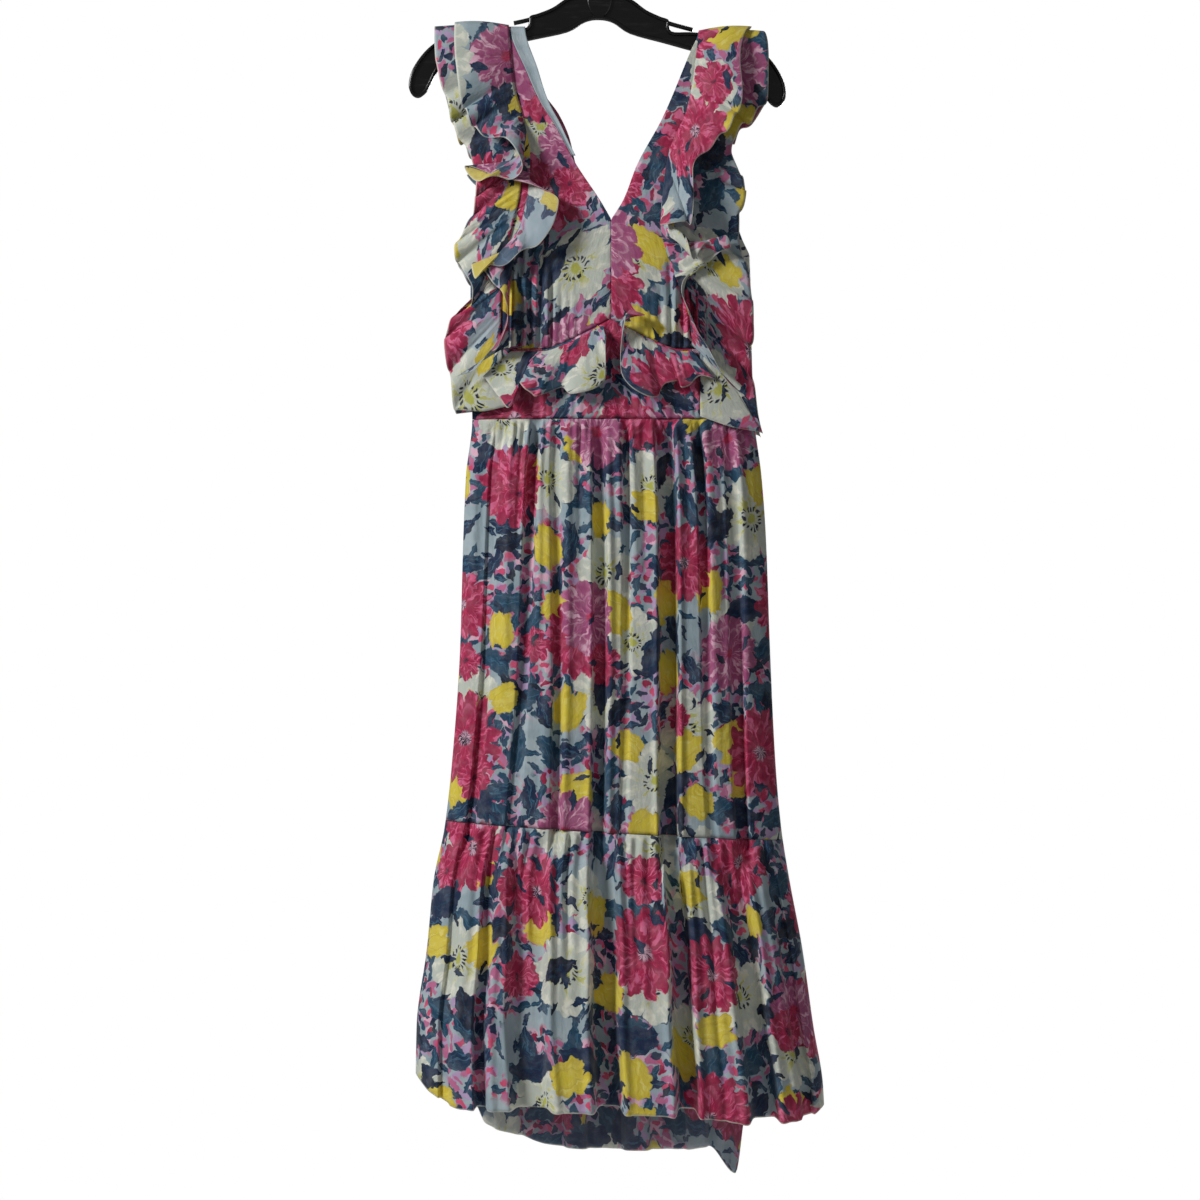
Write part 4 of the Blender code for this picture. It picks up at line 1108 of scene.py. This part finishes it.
PRINT = {
    "ground": "94A7AF", "ground_pale": "A9B8BE", "navy": "16294A", "teal": "1F4660",
    "slate": "45708A", "crimson": "C42C5A", "wine": "9C2049", "rose": "DC6A92",
    "orchid": "BC6890", "plum": "A04C78", "blush": "E2B2C6", "yellow": "DDC944",
    "ochre": "C7AE36", "lemon": "E9DF84", "cream": "E6E5D6", "shade": "C3C9BE",
    "moss": "B4B552", "lilac": "B59AC0", "coral": "CF4C72", "ink": "131C33",
}


def inks(names):
    return [srgb(PRINT[name]) for name in names.split()]


def print_group():
    """The floral print, painted by nodes from flat-cut coordinates: a scatter of blooms and leaves.

    Each layer has its cells (spacing in metres, turn, shift, unevenness), then its motif's size,
    shape, share of the cells and colours.
    """
    tree = bpy.data.node_groups.new("Floral print", "ShaderNodeTree")
    tree.interface.new_socket("Vector", in_out="INPUT", socket_type="NodeSocketVector")
    tree.interface.new_socket("Color", in_out="OUTPUT", socket_type="NodeSocketColor")
    w = Wiring(tree)
    source = tree.nodes.new("NodeGroupInput").outputs["Vector"]
    ripple = w.node(
        "ShaderNodeTexNoise", {"Vector": source, "Scale": 95.0, "Detail": 2.0}, noise_dimensions="2D"
    ).outputs["Color"]
    moved = w.vector("MULTIPLY", w.vector("SUBTRACT", ripple, (0.5, 0.5, 0.5)), (0.010, 0.010, 0.0))
    place = w.vector("ADD", source, moved)
    colour = w.mix(w.ramp(w.noise(source, 22.0, 3.0), 0.40, 0.62), *inks("ground ground_pale"))
    patch = w.ramp(w.noise(source, 9.0, 1.0), 0.38, 0.44)
    pale_dabs, dark_dabs = inks("lilac blush orchid ground_pale lilac"), inks("orchid coral teal navy wine")
    greens, darks, reds = inks("navy teal slate"), inks("ink navy teal"), inks("crimson wine rose")
    for paint, cells, *motif in (
        (sprigs, (0.0165, 8, (0.005, 0.011), 0.85), 0.0105, patch, pale_dabs),
        (sprigs, (0.0118, 31, (0.003, 0.001), 0.9), 0.0070, patch, dark_dabs),
        (leaf, (0.024, 64, (0.01, 0.02), 0.8), 0.0140, 0.28, 0.80, greens),
        (leaf, (0.047, 12, (0.03, 0.005), 0.7), 0.029, 0.40, 0.85, greens),
        (anemone, (0.112, 47, (0.02, 0.05), 0.45), 0.045, 0.74, inks("cream shade moss"), inks("moss ink")),
        (leaf, (0.078, 71, (0.013, 0.041), 0.6), 0.032, 0.46, 0.62, darks),
        (tulip, (0.088, 78, (0.05, 0.01), 0.5), 0.027, 0.62, inks("yellow ochre lemon")),
        (bloom, (0.150, 19, (0.07, 0.03), 0.42), 0.050, 15, 0.62, reds, inks("blush ink")),
        (
            bloom, (0.165, 55, (0.01, 0.09), 0.42), 0.048, 12, 0.45, inks("orchid plum blush"),
            inks("wine crimson"), 0.5, 0.22,
        ),
        (bloom, (0.105, 83, (0.04, 0.06), 0.5), 0.027, 7, 0.34, reds, inks("ink wine"), 0.4, 0.30),
        (leaf, (0.036, 40, (0.0, 0.03), 0.9), 0.012, 0.34, 0.42, darks),
    ):
        colour = paint(w, colour, scattered(w, place, *cells), *motif)
    w.feed(tree.nodes.new("NodeGroupOutput").inputs["Color"], colour)
    return tree


def waves(w, place, length):
    return w.sin(w.mul(place, 2 * math.pi / length))


def weave_bump(w, place, shader):
    """Fine crossed threads and the slight crinkle of the cloth, as bump."""
    x, y, _ = w.split(place)
    threads = w.mul(w.mul(waves(w, x, THREAD), waves(w, y, THREAD)), THREAD_HEIGHT)
    crinkle = w.noise(w.vector("MULTIPLY", place, (1.0, 0.35, 1.0)), 210.0, 3.0)
    w.bump(shader, w.mul_add(crinkle, CRINKLE_HEIGHT, threads), 0.6)


def new_look(name, roughness, metallic=0.0, sheen=0.0):
    made = bpy.data.materials.new(name)
    made.use_nodes = True
    shader = made.node_tree.nodes["Principled BSDF"]
    shader.inputs["Roughness"].default_value = roughness
    shader.inputs["Metallic"].default_value = metallic
    shader.inputs["Sheen Weight"].default_value = sheen
    return made, shader, Wiring(made.node_tree)


def printed(name, group, wrong_side):
    """Printed cloth: the wrong side is paler and duller, and a free edge ends in a pale rolled hem."""
    made, shader, w = new_look(name, 0.78, sheen=0.10)
    shader.inputs["Specular IOR Level"].default_value = 0.30
    place = w.map("cloth")
    colour = w.node("ShaderNodeGroup", {"Vector": place}, node_tree=group).outputs["Color"]
    mottle = w.ramp(w.noise(place, 60.0, 3.0), 0.35, 0.75)
    colour = w.mix(w.mul(mottle, 0.06), colour, srgb("F0F0EE"))
    if wrong_side:
        colour = w.mix(0.22, colour, srgb("83879A"))
    along, from_edge, _ = w.split(w.map("edge"))
    hem = w.rest(w.ramp(from_edge, HEM_WIDTH / 2, HEM_WIDTH))
    stitches = w.mul_add(waves(w, along, STITCH), 0.25, 0.35)
    worn = w.ramp(w.noise(w.join(along, 0.0), 30.0, 2.0), 0.35, 0.60)
    pale = w.mix(stitches, srgb("E9E6D6"), srgb("C9CBC2"))
    colour = w.mix(w.mul(hem, w.mul_add(worn, 0.5, 0.25)), colour, pale)
    w.feed(shader.inputs["Base Color"], colour)
    weave_bump(w, place, shader)
    return made


def plain_lining():
    made, shader, w = new_look("Pale lining", 0.72, sheen=0.10)
    place = w.map("cloth")
    cloudy = w.ramp(w.noise(place, 40.0, 3.0), 0.3, 0.7)
    w.feed(shader.inputs["Base Color"], w.mix(cloudy, srgb("9FB0B8"), srgb("B4C2C8")))
    weave_bump(w, place, shader)
    return made


def moulded_black():
    """Black moulded plastic: fine grain, dust and faint rubbed marks."""
    made, shader, w = new_look("Black moulded plastic", 0.38)
    shader.inputs["Specular IOR Level"].default_value = 0.75
    place = w.object_place()
    grain = w.noise(place, 900.0, 2.0, "3D")
    rubbed = w.noise(w.vector("MULTIPLY", place, (1.0, 4.0, 6.0)), 28.0, 4.0, "3D")
    dusty = w.ramp(rubbed, 0.52, 0.74)
    w.feed(shader.inputs["Base Color"], w.mix(w.mul(dusty, 0.16), srgb("0B0B0D"), srgb("2A2B2F")))
    w.feed(shader.inputs["Roughness"], w.mul_add(dusty, 0.14, 0.22))
    w.bump(shader, w.mul(grain, 0.0002), 0.5)
    return made


def drawn_steel():
    made, shader, w = new_look("Drawn steel wire", 0.28, 1.0)
    stretched = w.vector("MULTIPLY", w.object_place(), (1.0, 1.0, 0.08))
    lines = w.noise(stretched, 1400.0, 2.0, "3D")
    w.feed(shader.inputs["Base Color"], w.mix(lines, srgb("A5A6A8"), srgb("D5D6D8")))
    w.feed(shader.inputs["Roughness"], w.mul_add(lines, 0.18, 0.20))
    return made


def hanger_piece(name, line, look, bevel, steps, plate=None, scale=(1.0, 1.0, 1.0)):
    """A piece drawn along (x, z) points in millimetres, as a mesh.

    A plate is a closed outline with a fill and half a thickness; anything else is a capped wire.
    """
    curve = bpy.data.curves.new(name, "CURVE")
    spline = curve.splines.new("POLY")
    spline.points.add(len(line) - 1)
    for target, (x, z) in zip(spline.points, line):
        target.co = (x * MM, z * MM, 0.0, 1.0) if plate else (x * MM, 0.0, z * MM, 1.0)
    spline.use_cyclic_u = bool(plate)
    curve.materials.append(look)
    curve.dimensions = "2D" if plate else "3D"
    if plate:
        curve.fill_mode, curve.extrude = plate[0], plate[1] * MM
    else:
        curve.use_fill_caps = True
    curve.bevel_depth = bevel * MM
    curve.bevel_resolution = steps
    drawn = bpy.data.objects.new(name, curve)
    bpy.context.scene.collection.objects.link(drawn)
    drawn.rotation_euler = (math.pi / 2 if plate else 0.0, HANGER_TILT, 0.0)
    drawn.scale = scale
    bpy.context.view_layer.update()
    graph = bpy.context.evaluated_depsgraph_get()
    mesh = bpy.data.meshes.new_from_object(drawn.evaluated_get(graph))
    mesh.transform(drawn.matrix_world.copy())
    mesh.shade_smooth()
    bpy.data.objects.remove(drawn, do_unlink=True)
    made = bpy.data.objects.new(name, mesh)
    bpy.context.scene.collection.objects.link(made)
    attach(made, "root")
    return made


def rounded(points, closed, steps):
    """A smooth curve through points, keeping to them (Catmull-Rom)."""
    points = np.array(points, float)
    count = len(points)
    out = []
    for i in range(count if closed else count - 1):
        near = np.arange(i - 1, i + 3)
        p0, p1, p2, p3 = points[near % count if closed else near.clip(0, count - 1)]
        for t in np.arange(steps) / steps:
            out.append(0.5 * (
                2 * p1 + (p2 - p0) * t + (2 * p0 - 5 * p1 + 4 * p2 - p3) * t**2
                + (3 * p1 - p0 - 3 * p2 + p3) * t**3
            ))
    if not closed:
        out.append(points[-1])
    return [tuple(p) for p in out]


def inset(outline, amount):
    """The outline moved inwards by an amount, for a closed line that runs clockwise or not."""
    points = np.array(outline, float)
    before, after = np.roll(points, 1, axis=0), np.roll(points, -1, axis=0)
    along = after - before
    along = along / np.maximum(np.linalg.norm(along, axis=1, keepdims=True), 1e-9)
    normal = np.stack([-along[:, 1], along[:, 0]], axis=1)
    x, y = points[:, 0], points[:, 1]
    area = 0.5 * float((x * np.roll(y, -1) - np.roll(x, -1) * y).sum())
    return points + normal * amount * (1.0 if area > 0 else -1.0)


def dress_hanger(plastic, steel):
    side = [(p.x, -p.drop) for p in HANGER_SIDE]
    outline = rounded(side + [(-x, z) for x, z in side[:-1]][::-1], True, 4)
    plate = hanger_piece(
        "hanger_plate", inset(outline, PLATE_INSET), plastic, 0.6, 2, ("BOTH", PLATE_HALF)
    )
    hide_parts("hanger_body")
    half_rim = HANGER_DEPTH / 2 - RIM_ROUNDING
    rim = hanger_piece(
        "hanger_rim", inset(outline, RIM_INSET), plastic, RIM_ROUNDING, 4, ("NONE", half_rim)
    )
    turns = np.linspace(0, 2 * math.pi, 49)[:-1]
    oval = [(BOSS.x * math.cos(a), BOSS.z * math.sin(a) - BOSS.drop) for a in turns]
    moulded = [plate, rim, hanger_piece("hanger_boss", oval, plastic, 1.2, 3, ("BOTH", BOSS.half))]
    for number, x in enumerate((-RIB_PLACE, RIB_PLACE)):
        line = [(x, z) for z in np.linspace(*RIB_ENDS, 12)]
        moulded.append(
            hanger_piece(f"hanger_rib_{number}", line, plastic, 4.7, 5, scale=(0.28, 1.0, 1.0))
        )
    # The short arm over each strap slot; the left one stops before the ruffle
    for word, sign, end in (("left", -1, 98.0), ("right", 1, 108.0)):
        out = np.linspace(SLOT_ARM[0].x, end, 14)
        fall = np.interp(out, column(SLOT_ARM, "x"), column(SLOT_ARM, "drop"))
        line = [(sign * x, -drop) for x, drop in zip(out, fall)]
        moulded.append(
            hanger_piece(f"hanger_slot_arm_{word}", line, plastic, 2.4, 5, scale=(1.0, 1.9, 1.0))
        )

    wire = rounded(hook_path(), False, 5)
    hook = hanger_piece("hanger_hook_wire", wire, steel, HOOK_WIRE / 2, 6)
    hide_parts("hanger_hook")


def build_stage():
    """A pale round floor under the dress; round about it the studio is white."""
    floor_look, shader, w = new_look("Pale floor", 0.9)
    cloudy = w.noise(w.object_place(), 1.5, 2.0, "3D")
    w.feed(shader.inputs["Base Color"], w.mix(cloudy, srgb("F2F2F1"), srgb("F7F7F6")))
    mesh = bpy.data.meshes.new("floor")
    turns = np.linspace(0.0, 2 * math.pi, FLOOR_SIDES, endpoint=False)
    rim = [(FLOOR_RADIUS * math.cos(a), FLOOR_RADIUS * math.sin(a), FLOOR_HEIGHT) for a in turns]
    mesh.from_pydata(rim, [], [tuple(range(FLOOR_SIDES))])
    mesh.materials.append(floor_look)
    floor = bpy.data.objects.new("floor", mesh)
    bpy.context.scene.collection.objects.link(floor)


def add_light(name, place, towards, size, power):
    data = bpy.data.lights.new(name, "AREA")
    data.shape = "RECTANGLE"
    data.size = data.size_y = size
    data.energy = power
    made = bpy.data.objects.new(name, data)
    made.location = place
    made.rotation_euler = (Vector(towards) - Vector(place)).to_track_quat("-Z", "Y").to_euler()
    bpy.context.scene.collection.objects.link(made)


def build_light():
    """Soft light from the front left, a weak fill, a soft light behind, and a plain white studio."""
    add_light("key", (-2.8, -1.9, 0.9), (0.0, 0.0, -0.7), 0.8, 108)
    add_light("fill", (2.4, -3.0, -0.3), (0.0, 0.0, -0.8), 2.2, 9)
    add_light("behind", (1.2, 3.0, 0.4), (0.0, 0.0, -0.8), 1.6, 70)
    world = bpy.data.worlds.new("Studio")
    world.use_nodes = True
    w = Wiring(world.node_tree)
    white = (1.0, 1.0, 1.0, 1.0)
    glow = world.node_tree.nodes["Background"]
    w.feed(glow.inputs["Color"], white)
    w.feed(glow.inputs["Strength"], STUDIO_GLOW)
    backdrop = w.node("ShaderNodeBackground", {"Color": white, "Strength": 1.0})
    seen = w.node("ShaderNodeLightPath").outputs["Is Camera Ray"]
    mix = w.node("ShaderNodeMixShader", {0: seen, 1: glow.outputs[0], 2: backdrop.outputs[0]})
    w.feed(world.node_tree.nodes["World Output"].inputs["Surface"], mix.outputs[0])
    bpy.context.scene.world = world
    bpy.context.scene.view_settings.view_transform = "Standard"


def build_camera():
    """Straight on; the frame's width is measured at the hanger."""
    data = bpy.data.cameras.new("Camera")
    data.angle = 2 * math.atan(FRAME_WIDTH / 2 / CAMERA_DISTANCE)
    made = bpy.data.objects.new("Camera", data)
    made.location = (CAMERA_X, -CAMERA_DISTANCE, CAMERA_Z)
    made.rotation_euler = (math.pi / 2, 0.0, 0.0)
    bpy.context.scene.collection.objects.link(made)
    bpy.context.scene.camera = made


def main():
    group = print_group()
    look = [printed("Printed cloth", group, False), printed("Printed cloth wrong side", group, True)]
    dress_bodice(look)
    dress_neck_lining([plain_lining()])
    dress_waistband(look)
    dress_skirt(look)
    dress_tier(look)
    dress_ruffles(look)
    dress_waist_ruffles(look)
    dress_hanger(moulded_black(), drawn_steel())
    build_stage()
    build_light()
    build_camera()


main()
